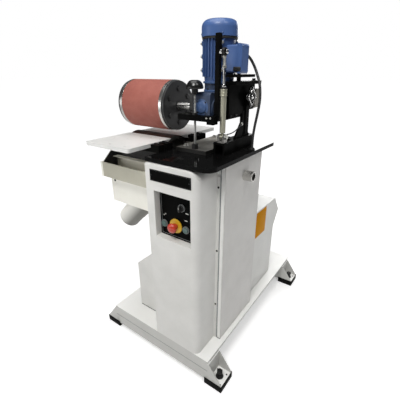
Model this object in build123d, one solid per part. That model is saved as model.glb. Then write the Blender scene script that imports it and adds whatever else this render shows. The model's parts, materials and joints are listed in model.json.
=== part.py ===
from build123d import *
import os
from math import cos, pi, radians, sin, tan

# Floor-standing drum sander with a powered feed drum on a swing arm.
# Millimetres. +X runs to the right along the front, +Y to the back, +Z up.
# The origin is on the floor under the middle of the machine.

# General sheet, clearances and fits
SHEET = 3.0
RUN_FIT = 0.05
SIDE_GAP = 0.4
LOOSE_FIT = 0.8

# Plinth and feet
PLINTH_WIDTH = 578.0
PLINTH_HEIGHT = 133.0
DECK_DEPTH = 957.0
DECK_THICK = 5.0
DECK_LIP = 12.0
BEAM_DEPTH = 90.0
BEAM_SHEET = 4.0
BEAM_FOLD_DROP = 70.0
BEAM_FOLD_STEP = 2.0
REAR_BEAM_INSET = 22.0
PAD_HEIGHT = 22.0
PAD_WIDTH = 85.0
PAD_ROUND = 5.0
FOOT_REACH = 68.0
FOOT_PLATE = 6.0
FOOT_GUSSET = 4.0
FOOT_TOE = 10.0
FOOT_TOP_GAP = 8.0
FOOT_BOLT_DIA = 16.0
FOOT_BOLT_SINK = 12.0
FOOT_BOLT_STAND = 34.0
FOOT_NUT_AF = 24.0
FOOT_NUT_HEIGHT = 13.0

# Column
COLUMN_LEFT = 0.0
COLUMN_WIDTH = 268.0
COLUMN_DEPTH = 298.0
COLUMN_HEIGHT = 820.0
WIRE_WINDOW_WIDTH = 120.0
WIRE_WINDOW_HEIGHT = 300.0
WIRE_HOLE_DIA = 60.0
WIRE_HOLE_RISE = 287.0
SIDE_TUBE_DIA = 35.0
SIDE_TUBE_WALL = 2.5
SIDE_TUBE_LENGTH = 38.0
SIDE_TUBE_OFFSET = 0.0
SIDE_TUBE_DROP = 76.0

# Front cover and control recess
COVER_SETBACK = 4.0
COVER_WIDTH = 231.0
COVER_DEPTH = 132.0
COVER_ROUND = 28.0
COVER_CORNER = 42.0
COVER_FLANGE = 12.0
COVER_TOP_GAP = 3.0
RECESS_INSET = 37.0
RECESS_WIDTH = 168.0
RECESS_HEIGHT = 191.0
RECESS_DROP = 99.0
RECESS_DEPTH = 30.0
PLATE_INSET = 24.0
PLATE_WIDTH = 186.0
PLATE_HEIGHT = 43.0
PLATE_DROP = 18.0
PLATE_THICK = 1.5

# Controls, placed from the recess's lower left corner
CONTROL_HOLE_DIA = 22.4
BEZEL_DIA = 29.5
BEZEL_PROUD = 5.0
LEFT_BUTTON_INSET = 21.0
RIGHT_BUTTON_INSET = 125.0
BUTTON_RISE = 51.0
BUTTON_CAP_DIA = 23.0
BUTTON_PROUD = 9.0
BUTTON_TRAVEL = 3.0
STEM_LENGTH = 14.0
ESTOP_INSET = 77.0
ESTOP_RISE = 54.0
ESTOP_COLLAR_DIA = 58.0
ESTOP_COLLAR_THICK = 3.0
ESTOP_HEAD_DIA = 40.0
ESTOP_HEAD_HEIGHT = 15.0
ESTOP_NECK_DIA = 26.0
ESTOP_NECK_HEIGHT = 14.0
ESTOP_TRAVEL = 4.0
SELECTOR_INSET = 107.0
SELECTOR_RISE = 136.0
SELECTOR_KNOB_DIA = 24.0
SELECTOR_KNOB_HEIGHT = 8.0
SELECTOR_GRIP_WIDTH = 8.0
SELECTOR_GRIP_HEIGHT = 12.0

# Box at the rear of the column
BOX_SETBACK = 10.0
BOX_WIDTH = 227.0
BOX_DEPTH = 314.0
BOX_HEIGHT = 484.0
BOX_TOP_SETBACK = 9.0
BOX_HOOD_REACH = 57.0
BOX_HOOD_DROP = 91.0
BOX_HOOD_FLARE = 86.0
SWITCHGEAR_PLATE_THICK = 3.0
SWITCHGEAR_STAND = 14.0
SWITCHGEAR_WIDTH = 46.0
SWITCHGEAR_DEPTH = 80.0
SWITCHGEAR_HEIGHT = 85.0
SWITCHGEAR_PITCH = 58.0
SWITCHGEAR_COUNT = 3
SWITCHGEAR_RISE = 197.0

# Guard and main motor at the lower left
GUARD_WIDTH = 188.0
GUARD_DEPTH = 309.0
GUARD_HEIGHT = 347.0
GUARD_SETBACK = 31.0
GUARD_PITCH = 91.0
GUARD_FLAT = 80.0
MOTOR_AXIS_HEIGHT = 139.0
MOTOR_DIA = 176.0
MOTOR_LENGTH = 150.0
MOTOR_END_GAP = 12.0
MOTOR_FOOT_LENGTH = 110.0
MOTOR_FOOT_WIDTH = 170.0
MOTOR_SHAFT_DIA = 28.0
MOTOR_PULLEY_DIA = 92.0
MOTOR_HOLE_DIA = 60.0

# Tables
TABLE_THICK = 15.0
TABLE_OVERHANG = 5.0
TABLE_WIDTH = 288.0
TABLE_DEPTH = 502.0
TABLE_SETBACK = 12.0
TABLE_ROUND = 40.0
WORK_THICK = 15.0
WORK_WIDTH = 244.0
WORK_SIDE_GAP = 31.0
WORK_LIP_CLEAR = 3.5
WORK_BEVEL_CLEAR = 8.0
WORK_LIP_LAND = 0.5
WORK_CORNER = 10.0
INFEED_REACH = 273.0
OUTFEED_REACH = 296.0
BRACKET_HEIGHT = 17.0
BRACKET_WIDTH = 34.0
BRACKET_UNDER = 60.0
BRACKET_ON_TABLE = 10.0
BRACKET_CLEAR = 4.0
BRACKET_GAP = 11.5

# Sanding roller and its drive
ROLLER_BACKSET = 102.0
ROLLER_DIA = 180.0
ROLLER_PROUD = 6.0
ROLLER_LENGTH = 228.0
ROLLER_SETBACK = 8.0
ROLLER_SLEEVE = 2.0
ROLLER_RIM = 14.0
ROLLER_DISH = 12.0
SPINDLE_DIA = 30.0
SPINDLE_HOUSING_DIA = 64.0
SPINDLE_FLANGE_DIA = 72.0
SPINDLE_FLANGE = 10.0
SPINDLE_GAP = 6.0
SPINDLE_REACH = 22.0
ROLLER_PULLEY_DIA = 60.0
PULLEY_GAP = 4.0
PULLEY_WIDTH = 34.0
PULLEY_RIM = 3.0
PULLEY_GROOVE = 3.0
BELT_THICK = 5.0
BELT_WIDTH = 24.0
BELT_GAP = 0.3

# Roller housing and dust outlet
HOOD_HEIGHT = 233.0
HOOD_TOP_GAP = 8.0
HOOD_FRONT_REACH = 169.0
HOOD_BACK_REACH = 165.0
HOOD_BEND_DROP = 123.0
HOOD_LIP = 36.0
HOOD_LIP_RISE = 14.0
HOOD_LIP_HEIGHT = 63.0
HOOD_LIP_WING = 15.0
HOOD_CHEEK = 17.0
DUST_PANEL_INSET = 42.0
DUST_PANEL_DROP = 30.0
DUST_PANEL_HEIGHT = 115.0
DUST_PANEL_FLANGE = 22.0
SPIGOT_DIA = 100.0
SPIGOT_WALL = 3.0
SPIGOT_INSET = 130.0
SPIGOT_SETBACK = 59.0
SPIGOT_ANGLE = 45.0
SPIGOT_REACH = 142.0
SPIGOT_OUTLET = 80.0
SPIGOT_STEP = 2.0

# Feed drum
DRUM_LIFT = 29.5
DRUM_DIA = 195.0
DRUM_LENGTH = 250.0
DRUM_OVERHANG = 17.0
DRUM_COVER = 8.0
DRUM_RING = 13.0
DRUM_DISC = 10.0
DRUM_DISC_LIP = 3.0
DRUM_WALL = 10.0
DRUM_HUB_DIA = 62.0
DRUM_HUB = 16.0
DRUM_SHAFT_DIA = 30.0
DRUM_BOLTS = 6
DRUM_BOLT_PCD = 128.0
DRUM_BOLT_AF = 15.0
DRUM_BOLT_HEIGHT = 6.0

# Swing arm, gearbox and feed motor
PIVOT_REACH = 142.0
PIVOT_RISE = 36.0
PIVOT_DIA = 12.0
ARM_DROP = 39.0
ARM_THICK = 20.0
ARM_CUT_GAP = 2.0
ARM_NOSE = 12.0
ARM_TAIL = 18.0
HEEL_WIDTH = 28.0
HEEL_DEPTH = 30.0
HEEL_HEIGHT = 9.0
SIDE_PLATE_GAP = 3.0
SIDE_PLATE_THICK = 10.0
SIDE_PLATE_TAIL = 67.0
SIDE_PLATE_STEP = 5.0
SIDE_PLATE_CUT = 67.0
SIDE_PLATE_HEEL = 51.0
TOP_PLATE_OVERHANG = 7.0
TOP_PLATE_WIDTH = 44.0
TOP_PLATE_THICK = 10.0
LOWER_PLATE_THICK = 12.0
TOP_PLATE_GAP = 13.0
TOP_PLATE_SETBACK = 60.0
SPACER_DIA = 16.0
SPACER_INSET = 55.0
POST_WIDTH = 16.0
POST_HEIGHT = 260.0
POST_GAP = 9.0
POST_SETBACK = 5.0
GEAR_CENTRE_X = 128.0
GEAR_WIDTH = 72.0
GEAR_BOSS_DIA = 88.0
GEAR_BOSS = 6.0
GEAR_FRONT = 52.0
GEAR_DROP = 45.0
GEAR_RISE = 66.0
GEAR_ROUND = 14.0
WORM_OFFSET = 63.0
WORM_DIA = 72.0
GEAR_FLANGE_DIA = 105.0
GEAR_FLANGE = 9.0
BLOCK_LENGTH = 34.0
BLOCK_HALF = 26.0
BLOCK_RISE = 49.0
ARM_BLOCK_LEDGE = 16.0
SHIELD_HEIGHT = 42.0
FEED_MOTOR_DIA = 112.0
FEED_MOTOR_LENGTH = 131.0
FEED_MOTOR_FINS = 28
FEED_FIN_HEIGHT = 7.0
FEED_FIN_THICK = 3.0
COWL_DIA = 132.0
COWL_HEIGHT = 55.0
COWL_ROUND = 26.0
COWL_SHEET = 2.5
COWL_GRILLE_RINGS = 3
COWL_GRILLE_PITCH = 12.0
COWL_GRILLE_SLOT = 5.0
TERMINAL_WIDTH = 58.0
TERMINAL_FRONT_REACH = 43.0
TERMINAL_BACK_REACH = 12.0
TERMINAL_CLEAR = 2.0
TERMINAL_HEIGHT = 88.0
TERMINAL_LID = 16.0
TERMINAL_ROUND = 6.0

# Arm base, rear fork, handwheel
BASE_OVERHANG = 17.0
BASE_WIDTH = 48.0
BASE_NOSE = 12.0
BASE_TAIL = 45.0
BASE_HEIGHT = 46.0
BASE_WALL = 8.0
LUG_LENGTH = 60.0
LUG_HEIGHT = 61.0
LUG_THICK = 8.0
LUG_TIP = 8.0
LUG_GAP = 11.0
FORK_EAR = 8.0
FORK_HALF = 13.0
FORK_FOOT = 12.0
HUB_GAP = 0.3
PIN_HEAD_DIA = 22.0
PIN_HEAD = 6.0
WHEEL_DIA = 80.0
WHEEL_CLEAR = 6.0
WHEEL_LOBES = 4
WHEEL_LOBE_DIA = 28.0
WHEEL_THICK = 14.0
WHEEL_HUB_DIA = 24.0
WHEEL_STUD_DIA = 10.0
WHEEL_GAP = 3.0

# Strut beside the post
STRUT_GAP = 4.0
STRUT_CLEAR = 45.0
STRUT_FOOT_RISE = 22.0
STRUT_PIN_DROP = 56.0
STRUT_TUBE_DIA = 21.0
STRUT_TUBE_LENGTH = 162.0
STRUT_COLLAR_DIA = 24.0
STRUT_COLLAR = 22.0
STRUT_ROD_DIA = 8.0
STRUT_PIN_DIA = 10.0
STRUT_EYE_DIA = 22.0
STRUT_TOP_EYE_DIA = 26.0
STRUT_EYE_WIDTH = 12.0
STRUT_SHANK_DIA = 11.0
STRUT_SHANK = 36.0
STRUT_NUT_AF = 14.0
STRUT_NUT = 9.0
CLEVIS_EAR = 7.0

# Stop screw and the small pieces on the table
STOP_OFFSET = 20.0
STOP_GAP = 13.0
STOP_ROD_DIA = 9.0
STOP_KNOB_DIA = 62.0
STOP_KNOB_RISE = 118.0
STOP_KNOB_HEIGHT = 30.0
STOP_COLLAR_DIA = 24.0
STOP_COLLAR = 18.0
STOP_FOOT_DIA = 24.0
STOP_FOOT = 18.0
STOP_SEAT_GAP = 0.3
BASE_PLATE_THICK = 15.0
BASE_PLATE_NOSE = 16.0
BASE_PLATE_GAP = 22.0
BASE_PLATE_CLEAR = 14.0

# Motor cable. Its route gives, for each point, the distances to the right of the gland and
# behind its end, and the share of the drop to the table.
CABLE_DIA = 10.0
GLAND_DIA = 22.0
GLAND_LENGTH = 10.0
CABLE_GLAND_INSET = 30.0
CABLE_GLAND_DROP = 27.0
CABLE_FOOT_INSET = 15.0
CABLE_FOOT_BACK = 10.0
CABLE_FOOT_RUN = 30.0
CABLE_OUT = (0.0, 3.0, 9.0, 20.0, 33.0, 43.0, 51.0, 58.0, 63.0, 62.0, 58.0, 55.0)
CABLE_BACK = (17.0, 34.0, 46.0, 50.0, 49.0, 47.0, 44.0, 39.0, 31.0, 22.0, 15.0, 11.0)
CABLE_SHARE = (0.0, 0.015, 0.06, 0.117, 0.169, 0.229, 0.295, 0.38, 0.482, 0.602, 0.723, 0.831)

# Places that follow from the sizes above: plinth and column
half_plinth = PLINTH_WIDTH / 2
deck_top = PLINTH_HEIGHT
deck_under = deck_top - DECK_THICK
infeed_overhang = INFEED_REACH - ROLLER_BACKSET - COVER_DEPTH
deck_back = (DECK_DEPTH + infeed_overhang) / 2
deck_front = deck_back - DECK_DEPTH
beam_fold_z = deck_under - BEAM_FOLD_DROP
rear_beam_back = deck_back - REAR_BEAM_INSET
col_right_x = COLUMN_LEFT + COLUMN_WIDTH
col_front_y = deck_front + COVER_DEPTH
col_back_y = col_front_y + COLUMN_DEPTH
table_under = deck_top + COLUMN_HEIGHT
side_tube_y = (col_front_y + col_back_y) / 2 + SIDE_TUBE_OFFSET
side_tube_z = table_under - SIDE_TUBE_DROP

# Places: cover and controls
cover_left = COLUMN_LEFT + COVER_SETBACK
cover_right = cover_left + COVER_WIDTH
cover_top = table_under - COVER_TOP_GAP
recess_left = cover_left + RECESS_INSET
recess_right = recess_left + RECESS_WIDTH
recess_high = cover_top - RECESS_DROP
recess_low = recess_high - RECESS_HEIGHT
panel_front = deck_front + RECESS_DEPTH
plate_left = cover_left + PLATE_INSET
plate_high = cover_top - PLATE_DROP
wire_window_z = (recess_low + recess_high) / 2
wire_hole_z = deck_top + WIRE_HOLE_RISE
button_x = (recess_left + LEFT_BUTTON_INSET, recess_left + RIGHT_BUTTON_INSET)
button_z = recess_low + BUTTON_RISE
estop_x = recess_left + ESTOP_INSET
estop_z = recess_low + ESTOP_RISE
selector_x = recess_left + SELECTOR_INSET
selector_z = recess_low + SELECTOR_RISE
stem_dia = CONTROL_HOLE_DIA - 2 * RUN_FIT

# Places: rear box, guard and main motor
box_left = COLUMN_LEFT + BOX_SETBACK
box_right = box_left + BOX_WIDTH
box_back = col_back_y + BOX_DEPTH
box_top = deck_top + BOX_HEIGHT
box_top_back = box_back - BOX_TOP_SETBACK
box_hood_back = box_back + BOX_HOOD_REACH
box_hood_z = box_top - BOX_HOOD_DROP
box_hood_low = box_hood_z - BOX_HOOD_FLARE
switchgear_z = deck_top + SWITCHGEAR_RISE
guard_left = COLUMN_LEFT - GUARD_WIDTH
guard_back = col_back_y - GUARD_SETBACK
guard_front = guard_back - GUARD_DEPTH
guard_ridge = deck_top + GUARD_HEIGHT
guard_eave = guard_ridge - GUARD_PITCH
guard_ridge_x = COLUMN_LEFT - GUARD_FLAT
motor_axis_z = deck_top + MOTOR_AXIS_HEIGHT

# Places: tables, roller and housing
roller_y = col_front_y + ROLLER_BACKSET
table_top = table_under + TABLE_THICK
table_left = COLUMN_LEFT - TABLE_OVERHANG
table_right = table_left + TABLE_WIDTH
table_front = deck_front + TABLE_SETBACK
table_back = table_front + TABLE_DEPTH
work_under = table_top + BRACKET_HEIGHT
work_top = work_under + WORK_THICK
work_right = table_left - WORK_SIDE_GAP
work_left = work_right - WORK_WIDTH
infeed_front = roller_y - INFEED_REACH
outfeed_back = roller_y + OUTFEED_REACH
roller_z = work_top + ROLLER_PROUD - ROLLER_DIA / 2
roller_right = work_right - ROLLER_SETBACK
roller_left = roller_right - ROLLER_LENGTH
spindle_left = roller_right + SPINDLE_GAP
spindle_right = COLUMN_LEFT + SPINDLE_REACH
pulley_left = spindle_right + PULLEY_GAP
pulley_right = pulley_left + PULLEY_WIDTH
hood_left = work_left
hood_top = table_under - HOOD_TOP_GAP
hood_bottom = hood_top - HOOD_HEIGHT
hood_front = roller_y - HOOD_FRONT_REACH
hood_back = roller_y + HOOD_BACK_REACH
hood_bend_z = hood_top - HOOD_BEND_DROP
hood_lip_y = hood_front - HOOD_LIP
hood_lip_z = hood_bend_z + HOOD_LIP_RISE
hood_lip_top = hood_lip_z + HOOD_LIP_HEIGHT
hood_wing_left = hood_left - HOOD_LIP_WING
hood_cheek_y = hood_front + HOOD_CHEEK
dust_panel_y = hood_front + DUST_PANEL_INSET
dust_panel_top = hood_top - DUST_PANEL_DROP
dust_panel_bottom = dust_panel_top - DUST_PANEL_HEIGHT
spigot_x = hood_left + SPIGOT_INSET
spigot_y = hood_front + SPIGOT_SETBACK

# Places: feed drum, gearbox and feed motor
drum_z = work_top + DRUM_LIFT + DRUM_DIA / 2
drum_right = work_right + DRUM_OVERHANG
drum_left = drum_right - DRUM_LENGTH
gear_left = GEAR_CENTRE_X - GEAR_WIDTH / 2
gear_right = GEAR_CENTRE_X + GEAR_WIDTH / 2
boss_left = gear_left - GEAR_BOSS
boss_right = gear_right + GEAR_BOSS
worm_y = roller_y + WORM_OFFSET
gear_front = roller_y - GEAR_FRONT
gear_back = worm_y + WORM_DIA / 2
gear_low = drum_z - GEAR_DROP
gear_top = drum_z + GEAR_RISE
feed_motor_low = gear_top + SHIELD_HEIGHT
feed_motor_high = feed_motor_low + FEED_MOTOR_LENGTH
cowl_top = feed_motor_high + COWL_HEIGHT

# Places: swing arm, its base and the strut
pivot_y = roller_y + PIVOT_REACH
pivot_z = drum_z + PIVOT_RISE
block_left = boss_left - BLOCK_LENGTH
arm_left = block_left - ARM_BLOCK_LEDGE
arm_low = drum_z - ARM_DROP
arm_top = arm_low + ARM_THICK
block_top = drum_z + BLOCK_RISE
stop_x = GEAR_CENTRE_X - STOP_OFFSET
stop_y = gear_front - STOP_GAP
arm_front = stop_y - ARM_NOSE
arm_back = gear_back + ARM_TAIL
post_left = boss_right + POST_GAP
post_right = post_left + POST_WIDTH
post_front = gear_front + POST_SETBACK
post_top = arm_top + POST_HEIGHT
strut_x = post_right + STRUT_GAP + STRUT_COLLAR_DIA / 2
strut_y = post_front + POST_WIDTH / 2
side_plate_x = post_right + SIDE_PLATE_GAP
side_plate_right = side_plate_x + SIDE_PLATE_THICK
side_plate_front = strut_y + STRUT_CLEAR
side_plate_back = pivot_y + SIDE_PLATE_TAIL
side_plate_low = arm_low + SIDE_PLATE_STEP
side_plate_high = pivot_z + WHEEL_DIA / 2 + WHEEL_CLEAR
side_plate_cut_y = pivot_y - SIDE_PLATE_CUT
side_plate_cut_z = pivot_z - SIDE_PLATE_HEEL
top_plate_left = side_plate_x - TOP_PLATE_OVERHANG
top_plate_right = top_plate_left + TOP_PLATE_WIDTH
upper_plate_low = side_plate_high + LOWER_PLATE_THICK + TOP_PLATE_GAP
upper_plate_high = upper_plate_low + TOP_PLATE_THICK
upper_plate_back = side_plate_back - TOP_PLATE_SETBACK
terminal_left = GEAR_CENTRE_X + FEED_MOTOR_DIA / 2
terminal_right = terminal_left + TERMINAL_WIDTH
terminal_front = worm_y - TERMINAL_FRONT_REACH
terminal_back = worm_y + TERMINAL_BACK_REACH
terminal_low = upper_plate_high + SHEET + TERMINAL_CLEAR
terminal_high = terminal_low + TERMINAL_HEIGHT
base_left = side_plate_x - BASE_OVERHANG
base_right = base_left + BASE_WIDTH
base_front = strut_y - BASE_NOSE
base_back = pivot_y + BASE_TAIL
base_top = table_top + BASE_HEIGHT
fork_left = side_plate_x - HUB_GAP - FORK_EAR
fork_right = side_plate_right + HUB_GAP + FORK_EAR
lug_back = pivot_y - FORK_HALF - FORK_FOOT - LUG_GAP
lug_front = lug_back - LUG_LENGTH
lug_top = base_top + LUG_HEIGHT
strut_low_z = base_top + STRUT_FOOT_RISE
strut_high_z = post_top - STRUT_PIN_DROP
strut_tube_top = strut_low_z + STRUT_TUBE_LENGTH
bracket_right = table_left + BRACKET_ON_TABLE
base_plate_left = bracket_right + BASE_PLATE_GAP
base_plate_right = base_left - BASE_PLATE_CLEAR
base_plate_front = stop_y - BASE_PLATE_NOSE
base_plate_top = table_top + BASE_PLATE_THICK
stop_foot_top = base_plate_top + STOP_FOOT
stop_knob_top = arm_top + STOP_KNOB_RISE
stop_knob_low = stop_knob_top - STOP_KNOB_HEIGHT
stop_collar_low = stop_knob_low - STOP_COLLAR

# Places: motor cable
cable_top_x = terminal_left + CABLE_GLAND_INSET
cable_top_y = terminal_back + GLAND_LENGTH
cable_top_z = terminal_high - CABLE_GLAND_DROP
cable_foot = (table_right - CABLE_FOOT_INSET, cable_top_y + CABLE_FOOT_BACK)


def block(x0, x1, y0, y1, z0, z1):
    """A box between two corners."""
    centre = Pos((x0 + x1) / 2, (y0 + y1) / 2, (z0 + z1) / 2)
    return centre * Box(x1 - x0, y1 - y0, z1 - z0)


def bar_x(dia, x0, x1, y, z):
    """A round bar along X."""
    return Pos((x0 + x1) / 2, y, z) * Rot(0, 90, 0) * Cylinder(dia / 2, x1 - x0)


def bar_y(dia, x, y0, y1, z):
    """A round bar along Y."""
    return Pos(x, (y0 + y1) / 2, z) * Rot(90, 0, 0) * Cylinder(dia / 2, y1 - y0)


def bar_z(dia, x, y, z0, z1):
    """A round bar along Z."""
    return Pos(x, y, (z0 + z1) / 2) * Cylinder(dia / 2, z1 - z0)


def plate_x(points, x0, x1):
    """An outline of (y, z) points made into a plate from x0 to x1."""
    face = make_face(Polyline(*points, close=True))
    return extrude(Plane.YZ.offset(x0) * face, x1 - x0)


def plate_y(points, y0, y1):
    """An outline of (x, z) points made into a plate from y0 to y1."""
    face = make_face(Polyline(*points, close=True))
    return extrude(Plane.XZ.offset(-y1) * face, y1 - y0)


def hex_z(across, x, y, z0, z1):
    """A hexagon bar along Z, sized across its flats."""
    face = RegularPolygon(across / 2, 6, major_radius=False)
    return Pos(x, y, z0) * extrude(face, z1 - z0)


def upright_edges(solid):
    """The edges of a solid that run along Z."""
    return solid.edges().filter_by(Axis.Z)


def group(solids):
    """Separate solids that share one node."""
    return Compound(children=[s.solid() for s in solids])


# Plinth

def plinth_deck():
    """Top plate with a small folded lip along each side."""
    deck = block(-half_plinth, half_plinth, deck_front, deck_back, deck_under, deck_top)
    lip_front = deck_front + BEAM_DEPTH
    lip_back = rear_beam_back - BEAM_DEPTH
    for side in (-1, 1):
        outer = side * half_plinth
        inner = side * (half_plinth - BEAM_SHEET)
        edges = sorted((outer, inner))
        deck += block(*edges, lip_front, lip_back, deck_top - DECK_LIP, deck_under)
    return deck


def cross_beam(front):
    """Folded channel under the deck, open below, with a stepped front skirt."""
    back = front + BEAM_DEPTH
    outer = (
        (front, deck_under),
        (front, beam_fold_z),
        (front + BEAM_FOLD_STEP, beam_fold_z),
        (front + BEAM_FOLD_STEP, PAD_HEIGHT),
        (front + BEAM_FOLD_STEP + BEAM_SHEET, PAD_HEIGHT),
        (front + BEAM_FOLD_STEP + BEAM_SHEET, deck_under - BEAM_SHEET),
        (back - BEAM_SHEET, deck_under - BEAM_SHEET),
        (back - BEAM_SHEET, PAD_HEIGHT),
        (back, PAD_HEIGHT),
        (back, deck_under),
    )
    return plate_x(outer, -half_plinth, half_plinth)


def foot_places():
    """Side and front edge of each foot."""
    fronts = (deck_front, rear_beam_back - BEAM_DEPTH)
    return [(side, front) for front in fronts for side in (-1, 1)]


def foot_bracket(side, front):
    """Open pocket at a beam's end: end wall, foot plate and two sloped gussets."""
    back = front + BEAM_DEPTH
    top = deck_under - FOOT_TOP_GAP
    wall = side * (half_plinth + FOOT_GUSSET)
    toe = side * (half_plinth + FOOT_REACH)
    root = side * half_plinth
    plate_top = PAD_HEIGHT + FOOT_PLATE
    bracket = block(*sorted((root, wall)), front, back, PAD_HEIGHT, top)
    plate = block(*sorted((root, toe)), front, back, PAD_HEIGHT, plate_top)
    bolt_x = side * (half_plinth + FOOT_REACH / 2)
    plate -= bar_z(FOOT_BOLT_DIA, bolt_x, front + BEAM_DEPTH / 2, PAD_HEIGHT, plate_top)
    outline = ((root, PAD_HEIGHT), (toe, PAD_HEIGHT), (toe, PAD_HEIGHT + FOOT_TOE), (wall, top), (root, top))
    near = plate_y(outline, front, front + FOOT_GUSSET)
    far = plate_y(outline, back - FOOT_GUSSET, back)
    return bracket + plate + near + far


def foot_bolt(side, front):
    """Levelling bolt that stands in the pad, with its nut on the foot plate."""
    x = side * (half_plinth + FOOT_REACH / 2)
    y = front + BEAM_DEPTH / 2
    plate_top = PAD_HEIGHT + FOOT_PLATE
    shank = bar_z(FOOT_BOLT_DIA, x, y, PAD_HEIGHT - FOOT_BOLT_SINK, plate_top + FOOT_BOLT_STAND)
    return shank + hex_z(FOOT_NUT_AF, x, y, plate_top, plate_top + FOOT_NUT_HEIGHT)


def foot_pad(side, front):
    """Rubber pad under a foot, with a blind hole for the bolt."""
    outer = side * (half_plinth + FOOT_REACH)
    inner = outer - side * PAD_WIDTH
    pad = block(*sorted((outer, inner)), front, front + BEAM_DEPTH, 0, PAD_HEIGHT)
    pad = fillet(upright_edges(pad), PAD_ROUND)
    x = side * (half_plinth + FOOT_REACH / 2)
    y = front + BEAM_DEPTH / 2
    return pad - bar_z(FOOT_BOLT_DIA, x, y, PAD_HEIGHT - FOOT_BOLT_SINK, PAD_HEIGHT)


# Column

def column_left():
    """Left panel, with holes for the roller spindle and the motor shaft."""
    panel = block(COLUMN_LEFT, COLUMN_LEFT + SHEET, col_front_y, col_back_y, deck_top, table_under)
    panel -= bar_x(SPINDLE_HOUSING_DIA, COLUMN_LEFT, COLUMN_LEFT + SHEET, roller_y, roller_z)
    return panel - bar_x(MOTOR_HOLE_DIA, COLUMN_LEFT, COLUMN_LEFT + SHEET, roller_y, motor_axis_z)


def column_right():
    """Right panel with its welded tube."""
    panel = block(col_right_x - SHEET, col_right_x, col_front_y, col_back_y, deck_top, table_under)
    return panel + side_tube()


def column_front():
    """Front panel with a window behind the control recess."""
    x0 = COLUMN_LEFT + SHEET
    x1 = col_right_x - SHEET
    panel = block(x0, x1, col_front_y, col_front_y + SHEET, deck_top, table_under)
    middle = (cover_left + cover_right) / 2
    half = WIRE_WINDOW_WIDTH / 2
    low = wire_window_z - WIRE_WINDOW_HEIGHT / 2
    high = wire_window_z + WIRE_WINDOW_HEIGHT / 2
    return panel - block(middle - half, middle + half, col_front_y, col_front_y + SHEET, low, high)


def column_back():
    """Back panel with a wire hole into the rear box."""
    x0 = COLUMN_LEFT + SHEET
    x1 = col_right_x - SHEET
    panel = block(x0, x1, col_back_y - SHEET, col_back_y, deck_top, table_under)
    middle = (box_left + box_right) / 2
    return panel - bar_y(WIRE_HOLE_DIA, middle, col_back_y - SHEET, col_back_y, wire_hole_z)


def side_tube():
    """Short steel tube on the column's right side."""
    x1 = col_right_x + SIDE_TUBE_LENGTH
    tube = bar_x(SIDE_TUBE_DIA, col_right_x, x1, side_tube_y, side_tube_z)
    bore = SIDE_TUBE_DIA - 2 * SIDE_TUBE_WALL
    return tube - bar_x(bore, col_right_x + SIDE_TUBE_WALL, x1, side_tube_y, side_tube_z)


# Front cover and controls

def cover_form(inset):
    """The cover's form, drawn in on its front, sides and top: one rounded upright edge and top corner."""
    x0 = cover_left + inset
    x1 = cover_right - inset
    y0 = deck_front + inset
    z1 = cover_top - inset
    form = block(x0, x1, y0, col_front_y, deck_top, z1)
    corner = max(upright_edges(form), key=lambda edge: edge.center().X - edge.center().Y)
    form = fillet(corner, COVER_ROUND - inset)
    envelope = block(x0, x1, y0, col_front_y, deck_top, z1)
    shoulder = max(envelope.edges().filter_by(Axis.Y), key=lambda edge: edge.center().X + edge.center().Z)
    return form & fillet(shoulder, COVER_CORNER - inset)


def front_cover():
    """Sheet cover, open at the back, with a folded control recess and a screw flange."""
    cover = cover_form(0) - cover_form(SHEET)
    tray_back = panel_front + SHEET
    cover += block(recess_left - SHEET, recess_right + SHEET, deck_front, tray_back,
                   recess_low - SHEET, recess_high + SHEET)
    cover -= block(recess_left, recess_right, deck_front, tray_back, recess_low, recess_high)
    flange_top = cover_top - COVER_CORNER
    cover += block(cover_right - SHEET, cover_right + COVER_FLANGE, col_front_y - SHEET, col_front_y,
                   deck_top, flange_top)
    return cover


def control_places():
    """Centres of the holes in the control panel."""
    places = [(x, button_z) for x in button_x]
    return places + [(estop_x, estop_z), (selector_x, selector_z)]


def control_panel():
    """Panel at the back of the recess, drilled for the four controls."""
    y1 = panel_front + SHEET
    panel = block(recess_left, recess_right, panel_front, y1, recess_low, recess_high)
    for x, z in control_places():
        panel -= bar_y(CONTROL_HOLE_DIA, x, panel_front, y1, z)
    return panel


def nameplate():
    """Plain blank plate above the recess."""
    return block(plate_left, plate_left + PLATE_WIDTH, deck_front - PLATE_THICK, deck_front,
                 plate_high - PLATE_HEIGHT, plate_high)


def bezel(x, z, bore):
    """Ring round a control."""
    ring = bar_y(BEZEL_DIA, x, panel_front - BEZEL_PROUD, panel_front, z)
    return ring - bar_y(bore, x, panel_front - BEZEL_PROUD, panel_front, z)


def control_bezels():
    """The rings of the two buttons and the selector."""
    bore = BUTTON_CAP_DIA + 2 * SIDE_GAP
    rings = [bezel(x, button_z, bore) for x in button_x]
    return group(rings + [bezel(selector_x, selector_z, SELECTOR_KNOB_DIA + 2 * SIDE_GAP)])


def control_stem(x, z):
    """Stem that guides a control through the panel."""
    return bar_y(stem_dia, x, panel_front - SIDE_GAP, panel_front + STEM_LENGTH, z)


def push_button(x):
    """Push button: a cap in the bezel, clear of the panel by its travel, on a stem."""
    back = panel_front - BUTTON_TRAVEL - SIDE_GAP
    cap = bar_y(BUTTON_CAP_DIA, x, panel_front - BUTTON_PROUD, back, button_z)
    cap = chamfer(cap.edges().sort_by(Axis.Y)[0], 1.0)
    return cap + bar_y(stem_dia, x, back, panel_front + STEM_LENGTH, button_z)


def estop_collar():
    """Round collar plate of the emergency stop."""
    y0 = panel_front - ESTOP_COLLAR_THICK
    collar = bar_y(ESTOP_COLLAR_DIA, estop_x, y0, panel_front, estop_z)
    return collar - bar_y(CONTROL_HOLE_DIA, estop_x, y0, panel_front, estop_z)


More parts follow.
